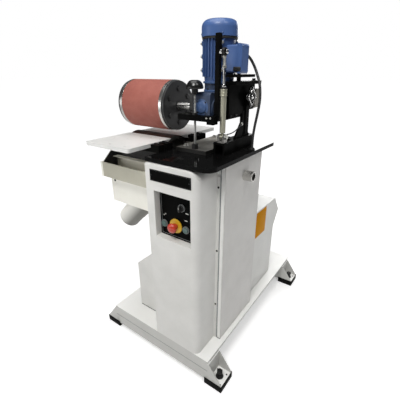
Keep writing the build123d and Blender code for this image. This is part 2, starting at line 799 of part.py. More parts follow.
def estop_button():
    """Mushroom head on a neck and stem, clear of its collar by its travel."""
    neck_back = panel_front - ESTOP_COLLAR_THICK - ESTOP_TRAVEL - SIDE_GAP
    head_back = neck_back - ESTOP_NECK_HEIGHT
    head = bar_y(ESTOP_HEAD_DIA, estop_x, head_back - ESTOP_HEAD_HEIGHT, head_back, estop_z)
    head = fillet(head.edges().sort_by(Axis.Y)[0], ESTOP_HEAD_HEIGHT * 0.6)
    neck = bar_y(ESTOP_NECK_DIA, estop_x, head_back, neck_back, estop_z)
    return head + neck + bar_y(stem_dia, estop_x, neck_back, panel_front + STEM_LENGTH, estop_z)


def selector_knob():
    """Rotary selector: a disc in its bezel with a raised grip."""
    y1 = panel_front - SIDE_GAP
    y0 = y1 - SELECTOR_KNOB_HEIGHT
    disc = bar_y(SELECTOR_KNOB_DIA, selector_x, y0, y1, selector_z)
    half = SELECTOR_GRIP_WIDTH / 2
    reach = SELECTOR_KNOB_DIA / 2 - 1
    grip = block(selector_x - half, selector_x + half, y0 - SELECTOR_GRIP_HEIGHT, y0,
                 selector_z - reach, selector_z + reach)
    grip = fillet(grip.edges().filter_by(Axis.Y), half * 0.8)
    return disc + grip + control_stem(selector_x, selector_z)


# Rear box

def box_outline(inset):
    """Side outline of the rear box, with its sloped hood, drawn in all round but at the column."""
    return (
        (col_back_y, deck_top),
        (box_back - inset, deck_top),
        (box_back - inset, box_hood_low),
        (box_hood_back - inset * 1.4, box_hood_z),
        (box_top_back - inset * 0.6, box_top - inset),
        (col_back_y, box_top - inset),
    )


def rear_box():
    """Sheet box behind the column, open towards it and to the deck."""
    return plate_x(box_outline(0), box_left, box_right) - plate_x(
        box_outline(SHEET), box_left + SHEET, box_right - SHEET)


def switchgear_plate():
    """Mounting plate on the column's back panel, on four stand-offs."""
    middle = (box_left + box_right) / 2
    half = SWITCHGEAR_PITCH * (SWITCHGEAR_COUNT - 1) / 2 + SWITCHGEAR_WIDTH / 2
    y0 = col_back_y + SWITCHGEAR_STAND
    y1 = y0 + SWITCHGEAR_PLATE_THICK
    z0 = switchgear_z - SWITCHGEAR_HEIGHT
    z1 = switchgear_z + SWITCHGEAR_HEIGHT / 2
    plate = block(middle - half, middle + half, y0, y1, z0, z1)
    inset = SWITCHGEAR_STAND / 2
    for x in (middle - half + inset, middle + half - inset):
        for z in (z0 + inset, z1 - inset):
            plate += bar_y(SWITCHGEAR_STAND / 2, x, col_back_y, y0, z)
    return plate


def switchgear():
    """Mounting plate with its row of contactors."""
    middle = (box_left + box_right) / 2
    first = middle - SWITCHGEAR_PITCH * (SWITCHGEAR_COUNT - 1) / 2
    y0 = col_back_y + SWITCHGEAR_STAND + SWITCHGEAR_PLATE_THICK
    z0 = switchgear_z - SWITCHGEAR_HEIGHT / 2
    units = []
    for index in range(SWITCHGEAR_COUNT):
        x = first + index * SWITCHGEAR_PITCH
        x0 = x - SWITCHGEAR_WIDTH / 2
        x1 = x + SWITCHGEAR_WIDTH / 2
        unit = block(x0, x1, y0, y0 + SWITCHGEAR_DEPTH, z0, z0 + SWITCHGEAR_HEIGHT)
        step = SWITCHGEAR_HEIGHT / 4
        for z in (z0, z0 + SWITCHGEAR_HEIGHT - step):
            unit -= block(x0, x1, y0 + SWITCHGEAR_DEPTH * 0.6, y0 + SWITCHGEAR_DEPTH, z, z + step)
        units.append(unit)
    return group([switchgear_plate(), *units])


# Guard and main drive

def guard_outline(inset):
    """Front outline of the guard with its sloped roof."""
    right = COLUMN_LEFT
    return (
        (right, deck_top),
        (guard_left + inset, deck_top),
        (guard_left + inset, guard_eave - inset * 0.5),
        (guard_ridge_x, guard_ridge - inset),
        (right, guard_ridge - inset),
    )


def motor_guard():
    """Sheet guard over the main motor, open towards the column and the deck."""
    return plate_y(guard_outline(0), guard_front, guard_back) - plate_y(
        guard_outline(SHEET), guard_front + SHEET, guard_back - SHEET)


def main_motor():
    """Foot-mounted motor with a ribbed barrel, bored for its shaft."""
    x1 = COLUMN_LEFT - MOTOR_END_GAP
    x0 = x1 - MOTOR_LENGTH
    barrel = bar_x(MOTOR_DIA, x0, x1, roller_y, motor_axis_z)
    barrel = fillet(barrel.edges().filter_by(GeomType.CIRCLE), MOTOR_DIA * 0.08)
    middle = (x0 + x1) / 2
    half_l = MOTOR_FOOT_LENGTH / 2
    half_w = MOTOR_FOOT_WIDTH / 2
    foot_high = motor_axis_z - MOTOR_DIA * 0.3
    outline = (
        (roller_y - half_w, deck_top),
        (roller_y + half_w, deck_top),
        (roller_y + half_w, deck_top + FOOT_NUT_HEIGHT),
        (roller_y + half_w * 0.7, foot_high),
        (roller_y - half_w * 0.7, foot_high),
        (roller_y - half_w, deck_top + FOOT_NUT_HEIGHT),
    )
    motor = barrel + plate_x(outline, middle - half_l, middle + half_l)
    bore = MOTOR_SHAFT_DIA + 2 * RUN_FIT
    return motor - bar_x(bore, middle, x1, roller_y, motor_axis_z)


def grooved_pulley(dia, z):
    """Flanged pulley on the drive's line."""
    pulley = bar_x(dia, pulley_left, pulley_right, roller_y, z)
    inner = dia - 2 * PULLEY_GROOVE
    x0 = pulley_left + PULLEY_RIM
    x1 = pulley_right - PULLEY_RIM
    groove = bar_x(dia + 1, x0, x1, roller_y, z) - bar_x(inner, x0, x1, roller_y, z)
    return pulley - groove


def motor_pulley():
    """Motor shaft with its pulley."""
    x0 = COLUMN_LEFT - MOTOR_END_GAP - MOTOR_LENGTH / 2 + RUN_FIT
    shaft = bar_x(MOTOR_SHAFT_DIA, x0, pulley_right, roller_y, motor_axis_z)
    return shaft + grooved_pulley(MOTOR_PULLEY_DIA, motor_axis_z)


def belt_outline(extra):
    """Outline round both pulleys: two arcs and their outer tangents."""
    big = MOTOR_PULLEY_DIA / 2 - PULLEY_GROOVE + BELT_GAP + extra
    small = ROLLER_PULLEY_DIA / 2 - PULLEY_GROOVE + BELT_GAP + extra
    span = roller_z - motor_axis_z
    rise = (big - small) / span
    run = (1 - rise * rise) ** 0.5
    low_right = (roller_y + big * run, motor_axis_z + big * rise)
    high_right = (roller_y + small * run, roller_z + small * rise)
    low_left = (roller_y - big * run, motor_axis_z + big * rise)
    high_left = (roller_y - small * run, roller_z + small * rise)
    return make_face([
        Line(low_right, high_right),
        ThreePointArc(high_right, (roller_y, roller_z + small), high_left),
        Line(high_left, low_left),
        ThreePointArc(low_left, (roller_y, motor_axis_z - big), low_right),
    ])


def drive_belt():
    """Flat drive belt in the pulleys' grooves."""
    face = belt_outline(BELT_THICK) - belt_outline(0)
    x0 = (pulley_left + pulley_right - BELT_WIDTH) / 2
    return extrude(Plane.YZ.offset(x0) * face, BELT_WIDTH)


# Tables

def work_table():
    """Black machine table with rounded front corner, standing on the column."""
    table = block(table_left, table_right, table_front, table_back, table_under, table_top)
    corner = max(upright_edges(table), key=lambda edge: edge.center().X - edge.center().Y)
    return fillet(corner, TABLE_ROUND)


def roller_half(z):
    """Half width of the roller at a height."""
    return (ROLLER_DIA ** 2 / 4 - (z - roller_z) ** 2) ** 0.5


def work_plate(outer_y, direction):
    """Small table beside the roller, with a bevelled lip at the gap and rounded outer corners."""
    lip = roller_y - direction * (roller_half(work_top) + WORK_LIP_CLEAR)
    heel = roller_y - direction * (roller_half(work_under) + WORK_BEVEL_CLEAR)
    outline = (
        (outer_y, work_under),
        (outer_y, work_top),
        (lip, work_top),
        (lip, work_top - WORK_LIP_LAND),
        (heel, work_under),
    )
    plate = plate_x(outline, work_left, work_right)
    outer = [edge for edge in upright_edges(plate) if abs(edge.center().Y - outer_y) < WORK_CORNER]
    return fillet(outer, WORK_CORNER)


def table_brackets():
    """Bars that carry the two small tables on the machine table."""
    x0 = work_right - BRACKET_UNDER
    x1 = bracket_right
    near = roller_half(table_top) + BRACKET_CLEAR
    far = near + BRACKET_WIDTH + BRACKET_GAP
    infeed = [roller_y - reach - BRACKET_WIDTH for reach in (near, far)]
    outfeed = [roller_y + reach for reach in (near, far)]
    bars = []
    for y in infeed + outfeed:
        bar = block(x0, x1, y, y + BRACKET_WIDTH, table_top, work_under)
        bars.append(bar + block(work_right + SIDE_GAP, x1, y, y + BRACKET_WIDTH, work_under, work_top - SHEET))
    return group(bars)


# Sanding roller

def roller_core():
    """Roller body with dished ends on one spindle, and the spindle's pulley."""
    dia = ROLLER_DIA - 2 * ROLLER_SLEEVE
    core = bar_x(dia, roller_left, roller_right, roller_y, roller_z)
    for x0 in (roller_left, roller_right - ROLLER_DISH):
        core -= bar_x(dia - 2 * ROLLER_RIM, x0, x0 + ROLLER_DISH, roller_y, roller_z)
    core += bar_x(SPINDLE_DIA, roller_left, pulley_right, roller_y, roller_z)
    return core + grooved_pulley(ROLLER_PULLEY_DIA, roller_z)


def roller_sleeve():
    """Abrasive sleeve on the roller."""
    inner = ROLLER_DIA - 2 * ROLLER_SLEEVE
    sleeve = bar_x(ROLLER_DIA, roller_left, roller_right, roller_y, roller_z)
    return sleeve - bar_x(inner, roller_left, roller_right, roller_y, roller_z)


def spindle_housing():
    """Bearing housing of the roller spindle, flanged to the roller housing's wall."""
    flange_right = COLUMN_LEFT - SHEET
    housing = bar_x(SPINDLE_HOUSING_DIA, spindle_left, spindle_right, roller_y, roller_z)
    housing += bar_x(SPINDLE_FLANGE_DIA, flange_right - SPINDLE_FLANGE, flange_right, roller_y, roller_z)
    bore = SPINDLE_DIA + 2 * RUN_FIT
    return housing - bar_x(bore, spindle_left, spindle_right, roller_y, roller_z)


# Roller housing and dust outlet

def cheek_outline():
    """Side wall of the roller housing, with its sloped front edge."""
    return (
        (hood_back, hood_bottom),
        (hood_back, hood_top),
        (hood_cheek_y, hood_top),
        (hood_lip_y, hood_lip_top),
        (hood_lip_y, hood_lip_z),
        (hood_front, hood_bend_z),
        (hood_front, hood_bottom),
    )


def trough_lip():
    """Trough along the housing's front, with a short closed end beyond its left wall."""
    fold = SHEET * 2 / 3
    profile = (
        (hood_front, hood_bend_z),
        (hood_lip_y, hood_lip_z),
        (hood_lip_y, hood_lip_top),
        (hood_lip_y + SHEET, hood_lip_top),
        (hood_lip_y + SHEET, hood_lip_z + fold),
        (hood_front + SHEET, hood_bend_z + fold),
        (hood_front + SHEET, hood_bend_z),
    )
    end = (
        (hood_front + SHEET, hood_bend_z),
        (hood_front, hood_bend_z),
        (hood_lip_y, hood_lip_z),
        (hood_lip_y, hood_lip_top),
        (hood_front + SHEET, hood_lip_top),
    )
    lip = plate_x(profile, hood_wing_left, COLUMN_LEFT)
    lip += plate_x(end, hood_wing_left, hood_wing_left + SHEET)
    return lip + block(hood_wing_left, hood_left + SHEET, hood_front, hood_front + SHEET, hood_bend_z, hood_lip_top)


def spigot_bar(dia, start, end):
    """A round bar along the dust outlet's axis, from its place in the housing's floor."""
    angle = radians(SPIGOT_ANGLE)
    middle = (start + end) / 2
    place = Pos(spigot_x - middle * sin(angle), spigot_y, hood_bottom - middle * cos(angle))
    return place * Rot(0, SPIGOT_ANGLE, 0) * Cylinder(dia / 2, end - start)


def roller_housing():
    """Open-topped sheet housing round the roller, with a trough along its front."""
    floor = block(hood_left, COLUMN_LEFT, hood_front, hood_back, hood_bottom, hood_bottom + SHEET)
    floor -= spigot_bar(SPIGOT_DIA - 2 * SPIGOT_WALL, -SPIGOT_DIA, SPIGOT_DIA)
    back = block(hood_left, COLUMN_LEFT, hood_back - SHEET, hood_back, hood_bottom, hood_top)
    front = block(hood_left, COLUMN_LEFT, hood_front, hood_front + SHEET, hood_bottom, hood_bend_z)
    housing = floor + back + front + trough_lip()
    housing += plate_x(cheek_outline(), hood_left, hood_left + SHEET)
    right = plate_x(cheek_outline(), COLUMN_LEFT - SHEET, COLUMN_LEFT)
    hole = SPINDLE_HOUSING_DIA
    right -= bar_x(hole, COLUMN_LEFT - SHEET, COLUMN_LEFT, roller_y, roller_z)
    return housing + right


def dust_panel():
    """Deflector in front of the roller, with a flange folded back along its top."""
    x0 = hood_left + SHEET
    x1 = COLUMN_LEFT - SHEET
    y1 = dust_panel_y + SHEET
    panel = block(x0, x1, dust_panel_y, y1, dust_panel_bottom, dust_panel_top)
    flange = dust_panel_y - DUST_PANEL_FLANGE
    return panel + block(x0, x1, flange, dust_panel_y, dust_panel_top - SHEET, dust_panel_top)


def dust_spigot():
    """Round dust outlet with a thicker neck, cut to the housing's floor and pointing down to the left."""
    tube = spigot_bar(SPIGOT_DIA, -SPIGOT_DIA, SPIGOT_REACH)
    tube += spigot_bar(SPIGOT_DIA + 2 * SPIGOT_STEP, -SPIGOT_DIA, SPIGOT_REACH - SPIGOT_OUTLET)
    tube -= spigot_bar(SPIGOT_DIA - 2 * SPIGOT_WALL, -SPIGOT_DIA, SPIGOT_REACH)
    above = SPIGOT_DIA * 2
    return tube - block(spigot_x - above, spigot_x + above, spigot_y - above, spigot_y + above,
                        hood_bottom, hood_bottom + above)


# Feed drum

def drum_core():
    """Steel drum: a rim with two polished end bands, and hubs at both ends."""
    inner_left = drum_left + DRUM_DISC
    inner_right = drum_right - DRUM_DISC
    core_dia = DRUM_DIA - 2 * DRUM_COVER
    core = bar_x(core_dia, inner_left, inner_right, roller_y, drum_z)
    bands = ((inner_left, inner_left + DRUM_RING), (inner_right - DRUM_RING, inner_right))
    for x0, x1 in bands:
        core += bar_x(DRUM_DIA, x0, x1, roller_y, drum_z)
    core -= bar_x(core_dia - 2 * DRUM_WALL, inner_left, inner_right, roller_y, drum_z)
    return core


def drum_cover():
    """Covering between the end bands."""
    x0 = drum_left + DRUM_DISC + DRUM_RING
    x1 = drum_right - DRUM_DISC - DRUM_RING
    cover = bar_x(DRUM_DIA, x0, x1, roller_y, drum_z)
    return cover - bar_x(DRUM_DIA - 2 * DRUM_COVER, x0, x1, roller_y, drum_z)


def drum_discs():
    """End discs with hubs, seated on the shaft and against the drum's rim."""
    dia = DRUM_DIA - 2 * DRUM_DISC_LIP
    discs = []
    for x0, outward in ((drum_left, -1), (drum_right - DRUM_DISC, 1)):
        disc = bar_x(dia, x0, x0 + DRUM_DISC, roller_y, drum_z)
        inner = x0 if outward > 0 else x0 + DRUM_DISC
        ends = sorted((inner, inner - outward * DRUM_HUB))
        disc += bar_x(DRUM_HUB_DIA, *ends, roller_y, drum_z)
        ends = (drum_left, drum_right)
        disc += drum_bolts(drum_right if outward > 0 else drum_left - DRUM_BOLT_HEIGHT)
        discs.append(disc - bar_x(DRUM_SHAFT_DIA, *ends, roller_y, drum_z))
    return group(discs)


def drum_bolts(face_x):
    """Hexagon bolt heads on an end disc."""
    heads = []
    head = extrude(RegularPolygon(DRUM_BOLT_AF / 2, 6, major_radius=False), DRUM_BOLT_HEIGHT)
    for index in range(DRUM_BOLTS):
        angle = 2 * pi * (index + 0.5) / DRUM_BOLTS
        y = roller_y + DRUM_BOLT_PCD / 2 * cos(angle)
        z = drum_z + DRUM_BOLT_PCD / 2 * sin(angle)
        heads.append(Pos(face_x, y, z) * Rot(0, 90, 0) * head)
    return heads


def drum_shaft():
    """Drum shaft through both discs, the bearing block and the gearbox's hollow wheel."""
    return bar_x(DRUM_SHAFT_DIA, drum_left, boss_right, roller_y, drum_z)


# Swing arm

def arm_plate():
    """Thick arm frame round the gearbox, drilled for the stop screw and stepped back at the strut."""
    plate = block(arm_left, side_plate_x, arm_front, arm_back, arm_low, arm_top)
    plate -= block(boss_left - ARM_CUT_GAP, boss_right + ARM_CUT_GAP, gear_front - ARM_CUT_GAP,
                   gear_back + ARM_CUT_GAP, arm_low, arm_top)
    plate -= block(post_right, side_plate_x, arm_front, side_plate_front, arm_low, arm_top)
    plate += block(post_right - HEEL_WIDTH, post_right, arm_front, arm_front + HEEL_DEPTH,
                   arm_low - HEEL_HEIGHT, arm_low)
    return plate - bar_z(STOP_ROD_DIA + 2 * RUN_FIT, stop_x, stop_y, arm_low, arm_top)


def arm_side_plate():
    """Upright side plate with its cut-away lower rear corner and the pivot bore."""
    hub = FORK_HALF * 0.9
    outline = (
        (side_plate_front, side_plate_low),
        (side_plate_cut_y, side_plate_low),
        (pivot_y - hub, side_plate_cut_z),
        (side_plate_back, side_plate_cut_z),
        (side_plate_back, side_plate_high),
        (side_plate_front, side_plate_high),
    )
    plate = plate_x(outline, side_plate_x, side_plate_right)
    bore = PIVOT_DIA + 2 * RUN_FIT
    return plate - bar_x(bore, side_plate_x, side_plate_right, pivot_y, pivot_z)


def arm_top_plates():
    """Two flat plates over the side plate, held apart by a spacer."""
    low_top = side_plate_high + LOWER_PLATE_THICK
    plates = block(top_plate_left, top_plate_right, side_plate_front, side_plate_back, side_plate_high, low_top)
    plates += block(top_plate_left, top_plate_right, side_plate_front, upper_plate_back,
                    upper_plate_low, upper_plate_high)
    x = (top_plate_left + top_plate_right) / 2
    return plates + bar_z(SPACER_DIA, x, side_plate_front + SPACER_INSET, low_top, upper_plate_low)


def arm_post():
    """Square post on the arm that carries the strut's upper end."""
    post = block(post_left, post_right, post_front, post_front + POST_WIDTH, arm_top, post_top)
    top = post.faces().sort_by(Axis.Z)[-1]
    return chamfer(top.edges(), 2.0) + strut_top_pin()


def strut_top_pin():
    """Pin on the post's side for the strut's upper eye, with a head."""
    x1 = strut_x + STRUT_EYE_WIDTH / 2 + SIDE_GAP
    pin = bar_x(STRUT_PIN_DIA, post_right, x1, strut_y, strut_high_z)
    return pin + bar_x(STRUT_PIN_DIA * 1.7, x1, x1 + SHEET, strut_y, strut_high_z)


def bearing_block():
    """Bearing block between drum and gearbox, standing on the arm."""
    outline = (
        (roller_y - BLOCK_HALF, arm_top),
        (roller_y + BLOCK_HALF, arm_top),
        (roller_y + BLOCK_HALF, drum_z),
        (roller_y + BLOCK_HALF * 0.6, block_top),
        (roller_y - BLOCK_HALF * 0.6, block_top),
        (roller_y - BLOCK_HALF, drum_z),
    )
    casting = plate_x(outline, block_left, boss_left)
    bore = DRUM_SHAFT_DIA + 2 * RUN_FIT
    return casting - bar_x(bore, block_left, boss_left, roller_y, drum_z)


def gearbox():
    """Worm gearbox: wheel housing with round side bosses, worm barrel and motor flange."""
    body = block(gear_left, gear_right, gear_front, worm_y, gear_low, gear_top - GEAR_FLANGE)
    body = fillet(body.edges().filter_by(Axis.X), GEAR_ROUND)
    body += bar_z(WORM_DIA, GEAR_CENTRE_X, worm_y, gear_low + GEAR_ROUND, gear_top - GEAR_FLANGE)
    body += bar_z(GEAR_FLANGE_DIA, GEAR_CENTRE_X, worm_y, gear_top - GEAR_FLANGE, gear_top)
    body += bar_x(GEAR_BOSS_DIA, boss_left, boss_right, roller_y, drum_z)
    return body - bar_x(DRUM_SHAFT_DIA + 2 * RUN_FIT, boss_left, boss_right, roller_y, drum_z)


def feed_motor():
    """Upright motor: tapered end shield and finned barrel."""
    x, y = GEAR_CENTRE_X, worm_y
    height = feed_motor_low - gear_top
    shield = Pos(x, y, gear_top + height / 2) * Cone(GEAR_FLANGE_DIA / 2, FEED_MOTOR_DIA / 2, height)
    motor = shield + bar_z(FEED_MOTOR_DIA, x, y, feed_motor_low, feed_motor_high)
    reach = FEED_MOTOR_DIA / 2 + FEED_FIN_HEIGHT
    length = feed_motor_high - feed_motor_low
    fin = Pos(reach / 2, 0, feed_motor_low + length / 2) * Box(reach, FEED_FIN_THICK, length)
    pitch = 360 / FEED_MOTOR_FINS
    flat = terminal_left - x
    for index in range(FEED_MOTOR_FINS):
        angle = (index + 0.5) * pitch
        facing_box = cos(radians(angle)) * reach > flat - FEED_FIN_THICK
        if not facing_box:
            motor += Pos(x, y, 0) * Rot(0, 0, angle) * fin
    return motor


def fan_cowl():
    """Thin domed cowl over the motor's fan, with ring slots in its top."""
    x, y = GEAR_CENTRE_X, worm_y
    shell = bar_z(COWL_DIA, x, y, feed_motor_high, cowl_top)
    shell = fillet(shell.edges().sort_by(Axis.Z)[-1], COWL_ROUND)
    inner = bar_z(COWL_DIA - 2 * COWL_SHEET, x, y, feed_motor_high + COWL_SHEET, cowl_top - COWL_SHEET)
    inner = fillet(inner.edges().sort_by(Axis.Z)[-1], COWL_ROUND - COWL_SHEET)
    shell -= inner
    for index in range(COWL_GRILLE_RINGS):
        outer = 2 * COWL_GRILLE_PITCH * (index + 1)
        slot = bar_z(outer + COWL_GRILLE_SLOT, x, y, cowl_top - COWL_SHEET, cowl_top)
        slot -= bar_z(outer - COWL_GRILLE_SLOT, x, y, cowl_top - COWL_SHEET, cowl_top)
        for turn in (0, 90):
            bridge = Box(COWL_DIA, COWL_GRILLE_SLOT, 2 * COWL_DIA)
            slot -= Pos(x, y, cowl_top) * Rot(0, 0, turn + 45) * bridge
        shell -= slot
    return shell


def terminal_box():
    """Terminal box on the motor's side, with its lid and the cable gland's boss."""
    body = block(terminal_left, terminal_right - TERMINAL_LID, terminal_front, terminal_back,
                 terminal_low, terminal_high)
    body = fillet(body.edges().filter_by(Axis.X), TERMINAL_ROUND)
    lid = block(terminal_right - TERMINAL_LID, terminal_right, terminal_front - SHEET,
                terminal_back + SHEET, terminal_low - SHEET, terminal_high + SHEET)
    outer = lid.faces().sort_by(Axis.X)[-1]
    lid = chamfer(outer.edges(), TERMINAL_ROUND)
    neck = block(GEAR_CENTRE_X, terminal_left, terminal_front + TERMINAL_ROUND,
                 terminal_back - TERMINAL_ROUND, terminal_low + TERMINAL_ROUND, terminal_high - TERMINAL_ROUND)
    neck -= bar_z(FEED_MOTOR_DIA, GEAR_CENTRE_X, worm_y, feed_motor_low, feed_motor_high)
    return body + lid + neck + cable_gland()


def cable_gland():
    """Gland where the cable leaves the terminal box."""
    return bar_y(GLAND_DIA, cable_top_x, terminal_back, cable_top_y, cable_top_z)


# Arm base and handwheel

def arm_base():
    """Inverted channel on the table under the strut and the rear fork, with a sloped lug on top."""
    base = block(base_left, base_right, base_front, base_back, table_top, base_top)
    base -= block(base_left + BASE_WALL, base_right - BASE_WALL, base_front, base_back,
                  table_top, base_top - BASE_WALL)
    lug = ((lug_front, base_top), (lug_back, base_top), (lug_back, lug_top), (lug_back - LUG_TIP, lug_top))
    return base + plate_x(lug, fork_right - LUG_THICK, fork_right)


def rear_fork():
    """Two upright ears with sloped feet that carry the arm's pivot pin."""
    ears = []
    top = pivot_z + FORK_HALF
    outline = (
        (pivot_y - FORK_HALF - FORK_FOOT, base_top),
        (pivot_y + FORK_HALF + FORK_FOOT, base_top),
        (pivot_y + FORK_HALF, base_top + FORK_FOOT),
        (pivot_y + FORK_HALF, top - FORK_HALF / 2),
        (pivot_y + FORK_HALF / 2, top),
        (pivot_y - FORK_HALF / 2, top),
        (pivot_y - FORK_HALF, top - FORK_HALF / 2),
        (pivot_y - FORK_HALF, base_top + FORK_FOOT),
    )
    for x0 in (fork_left, fork_right - FORK_EAR):
        ear = plate_x(outline, x0, x0 + FORK_EAR)
        ears.append(ear - bar_x(PIVOT_DIA, x0, x0 + FORK_EAR, pivot_y, pivot_z))
    return group(ears)


def pivot_pin():
    """Pivot pin held in the fork, with a head at the left and a stud for the handwheel."""
    pin = bar_x(PIVOT_DIA, fork_left, fork_right, pivot_y, pivot_z)
    pin += bar_x(PIN_HEAD_DIA, fork_left - PIN_HEAD, fork_left, pivot_y, pivot_z)
    stud_end = fork_right + WHEEL_GAP + WHEEL_THICK
    return pin + bar_x(WHEEL_STUD_DIA, fork_right, stud_end, pivot_y, pivot_z)


def handwheel():
    """Lobed clamp wheel on the pivot's stud."""
    x0 = fork_right + WHEEL_GAP
    x1 = x0 + WHEEL_THICK
    ring = WHEEL_DIA - WHEEL_LOBE_DIA
    wheel = bar_x(ring, x0, x1, pivot_y, pivot_z)
    for index in range(WHEEL_LOBES):
        angle = 2 * pi * index / WHEEL_LOBES
        y = pivot_y + ring / 2 * cos(angle)
        z = pivot_z + ring / 2 * sin(angle)
        wheel += bar_x(WHEEL_LOBE_DIA, x0, x1, y, z)
    wheel += bar_x(WHEEL_HUB_DIA, x0 - WHEEL_GAP + SIDE_GAP, x0, pivot_y, pivot_z)
    bore = WHEEL_STUD_DIA + 2 * RUN_FIT
    return wheel - bar_x(bore, fork_right, x1, pivot_y, pivot_z)


# Strut

def strut_foot():
    """Clevis on the arm base with the strut's lower pin."""
    inner = STRUT_EYE_WIDTH / 2 + SIDE_GAP
    outer = inner + CLEVIS_EAR
    half = STRUT_EYE_DIA / 2
    outline = (
        (strut_y - half, base_top),
        (strut_y + half, base_top),
        (strut_y + half, strut_low_z),
        (strut_y + half / 2, strut_low_z + half * 0.8),
        (strut_y - half / 2, strut_low_z + half * 0.8),
        (strut_y - half, strut_low_z),
    )
    foot = block(strut_x - outer, strut_x + outer, strut_y - half, strut_y + half, base_top, base_top + CLEVIS_EAR)
    for x0 in (strut_x - outer, strut_x + inner):
        foot += plate_x(outline, x0, x0 + CLEVIS_EAR)
    return foot + bar_x(STRUT_PIN_DIA, strut_x - outer, strut_x + outer, strut_y, strut_low_z)


def strut_eye(dia, bore, z):
    """Round eye across the strut's axis."""
    half = STRUT_EYE_WIDTH / 2
    eye = bar_x(dia, strut_x - half, strut_x + half, strut_y, z)
    return eye - bar_x(bore, strut_x - half, strut_x + half, strut_y, z)


def strut_tube():
    """Pressure tube with its lower eye and upper collar, bored for the rod."""
    eye_top = strut_low_z + STRUT_EYE_DIA / 2
    bore = STRUT_PIN_DIA + 2 * RUN_FIT
    tube = strut_eye(STRUT_EYE_DIA, bore, strut_low_z)
    neck_low = strut_low_z + STRUT_EYE_DIA / 2 - SHEET
    tube += bar_z(STRUT_EYE_WIDTH * 0.8, strut_x, strut_y, neck_low, eye_top + STRUT_EYE_WIDTH)
    tube += bar_z(STRUT_TUBE_DIA, strut_x, strut_y, eye_top + SHEET, strut_tube_top)
    tube += bar_z(STRUT_COLLAR_DIA, strut_x, strut_y, strut_tube_top - STRUT_COLLAR, strut_tube_top)
    rod_bore = STRUT_ROD_DIA + 2 * RUN_FIT
    return tube - bar_z(rod_bore, strut_x, strut_y, eye_top + 3 * STRUT_EYE_WIDTH, strut_tube_top)


def strut_rod():
    """Rod with its threaded shank, nut and upper eye, which hangs loosely on its pin."""
    eye_low = strut_high_z - STRUT_TOP_EYE_DIA / 2
    shank_low = eye_low - STRUT_SHANK
    rod_low = strut_low_z + STRUT_EYE_DIA / 2 + 4 * STRUT_EYE_WIDTH
    rod = strut_eye(STRUT_TOP_EYE_DIA, STRUT_PIN_DIA + 2 * LOOSE_FIT, strut_high_z)
    rod += bar_z(STRUT_SHANK_DIA, strut_x, strut_y, shank_low, eye_low + SHEET)
    rod += hex_z(STRUT_NUT_AF, strut_x, strut_y, shank_low, shank_low + STRUT_NUT)
    return rod + bar_z(STRUT_ROD_DIA, strut_x, strut_y, rod_low, shank_low)


# Stop screw and the small pieces on the table

def stop_screw():
    """Screw through the arm with a mushroom knob: its foot rests on the stop foot."""
    low = stop_foot_top + STOP_SEAT_GAP
    knob = bar_z(STOP_KNOB_DIA, stop_x, stop_y, stop_knob_low, stop_knob_top)
    knob = fillet(knob.edges().sort_by(Axis.Z)[-1], STOP_KNOB_HEIGHT * 0.8)
    collar = bar_z(STOP_COLLAR_DIA, stop_x, stop_y, stop_collar_low, stop_knob_low)
    return knob + collar + bar_z(STOP_ROD_DIA, stop_x, stop_y, low, stop_collar_low)


def stop_foot():
    """Hexagon stop on the base plate under the screw."""
    return hex_z(STOP_FOOT_DIA, stop_x, stop_y, base_plate_top, stop_foot_top)


def base_plate():
    """Flat plate on the table under the stop screw."""
    plate = block(base_plate_left, base_plate_right, base_plate_front, base_back, table_top, base_plate_top)
    return chamfer(plate.faces().sort_by(Axis.Z)[-1].edges(), 1.0)


# Motor cable

def cable_points():
    """Route of the cable from the gland to the table."""
    start = (cable_top_x, cable_top_y, cable_top_z)
    foot = (*cable_foot, table_top + GLAND_LENGTH)
    drop = cable_top_z - foot[2]
    route = []
    for out, back, share in zip(CABLE_OUT, CABLE_BACK, CABLE_SHARE):
        route.append((cable_top_x + out, cable_top_y + back, cable_top_z - share * drop))
    above = (*cable_foot, foot[2] + CABLE_FOOT_RUN)
    return [start, *route, above, foot]


def cable_radii(points):
    """Arc radius at each inner point: as large as the two runs beside it allow."""
    radii = []
    for before, here, after in zip(points, points[1:], points[2:]):
        into = Vector(*here) - Vector(*before)
        out = Vector(*after) - Vector(*here)
        turn = radians(into.get_angle(out))
        radii.append(0.45 * min(into.length, out.length) / tan(turn / 2))
    return radii


def motor_cable():
    """Cable swept along straight runs joined by tangent arcs."""
    points = cable_points()
    radii = cable_radii(points)
    print("cable radii", [round(r) for r in radii])
    path = FilletPolyline(*points, radius=radii)
    section = Plane(origin=path @ 0, z_dir=path % 0) * Circle(CABLE_DIA / 2)
    cable = sweep(section, path=path)
    print("cable length", round(path.length), "volume ratio", round(cable.volume / (path.length * section.area), 3))
    return cable


def table_gland():
    """Gland where the cable goes into the table."""
    x, y = cable_foot
    return bar_z(GLAND_DIA, x, y, table_top, table_top + GLAND_LENGTH)


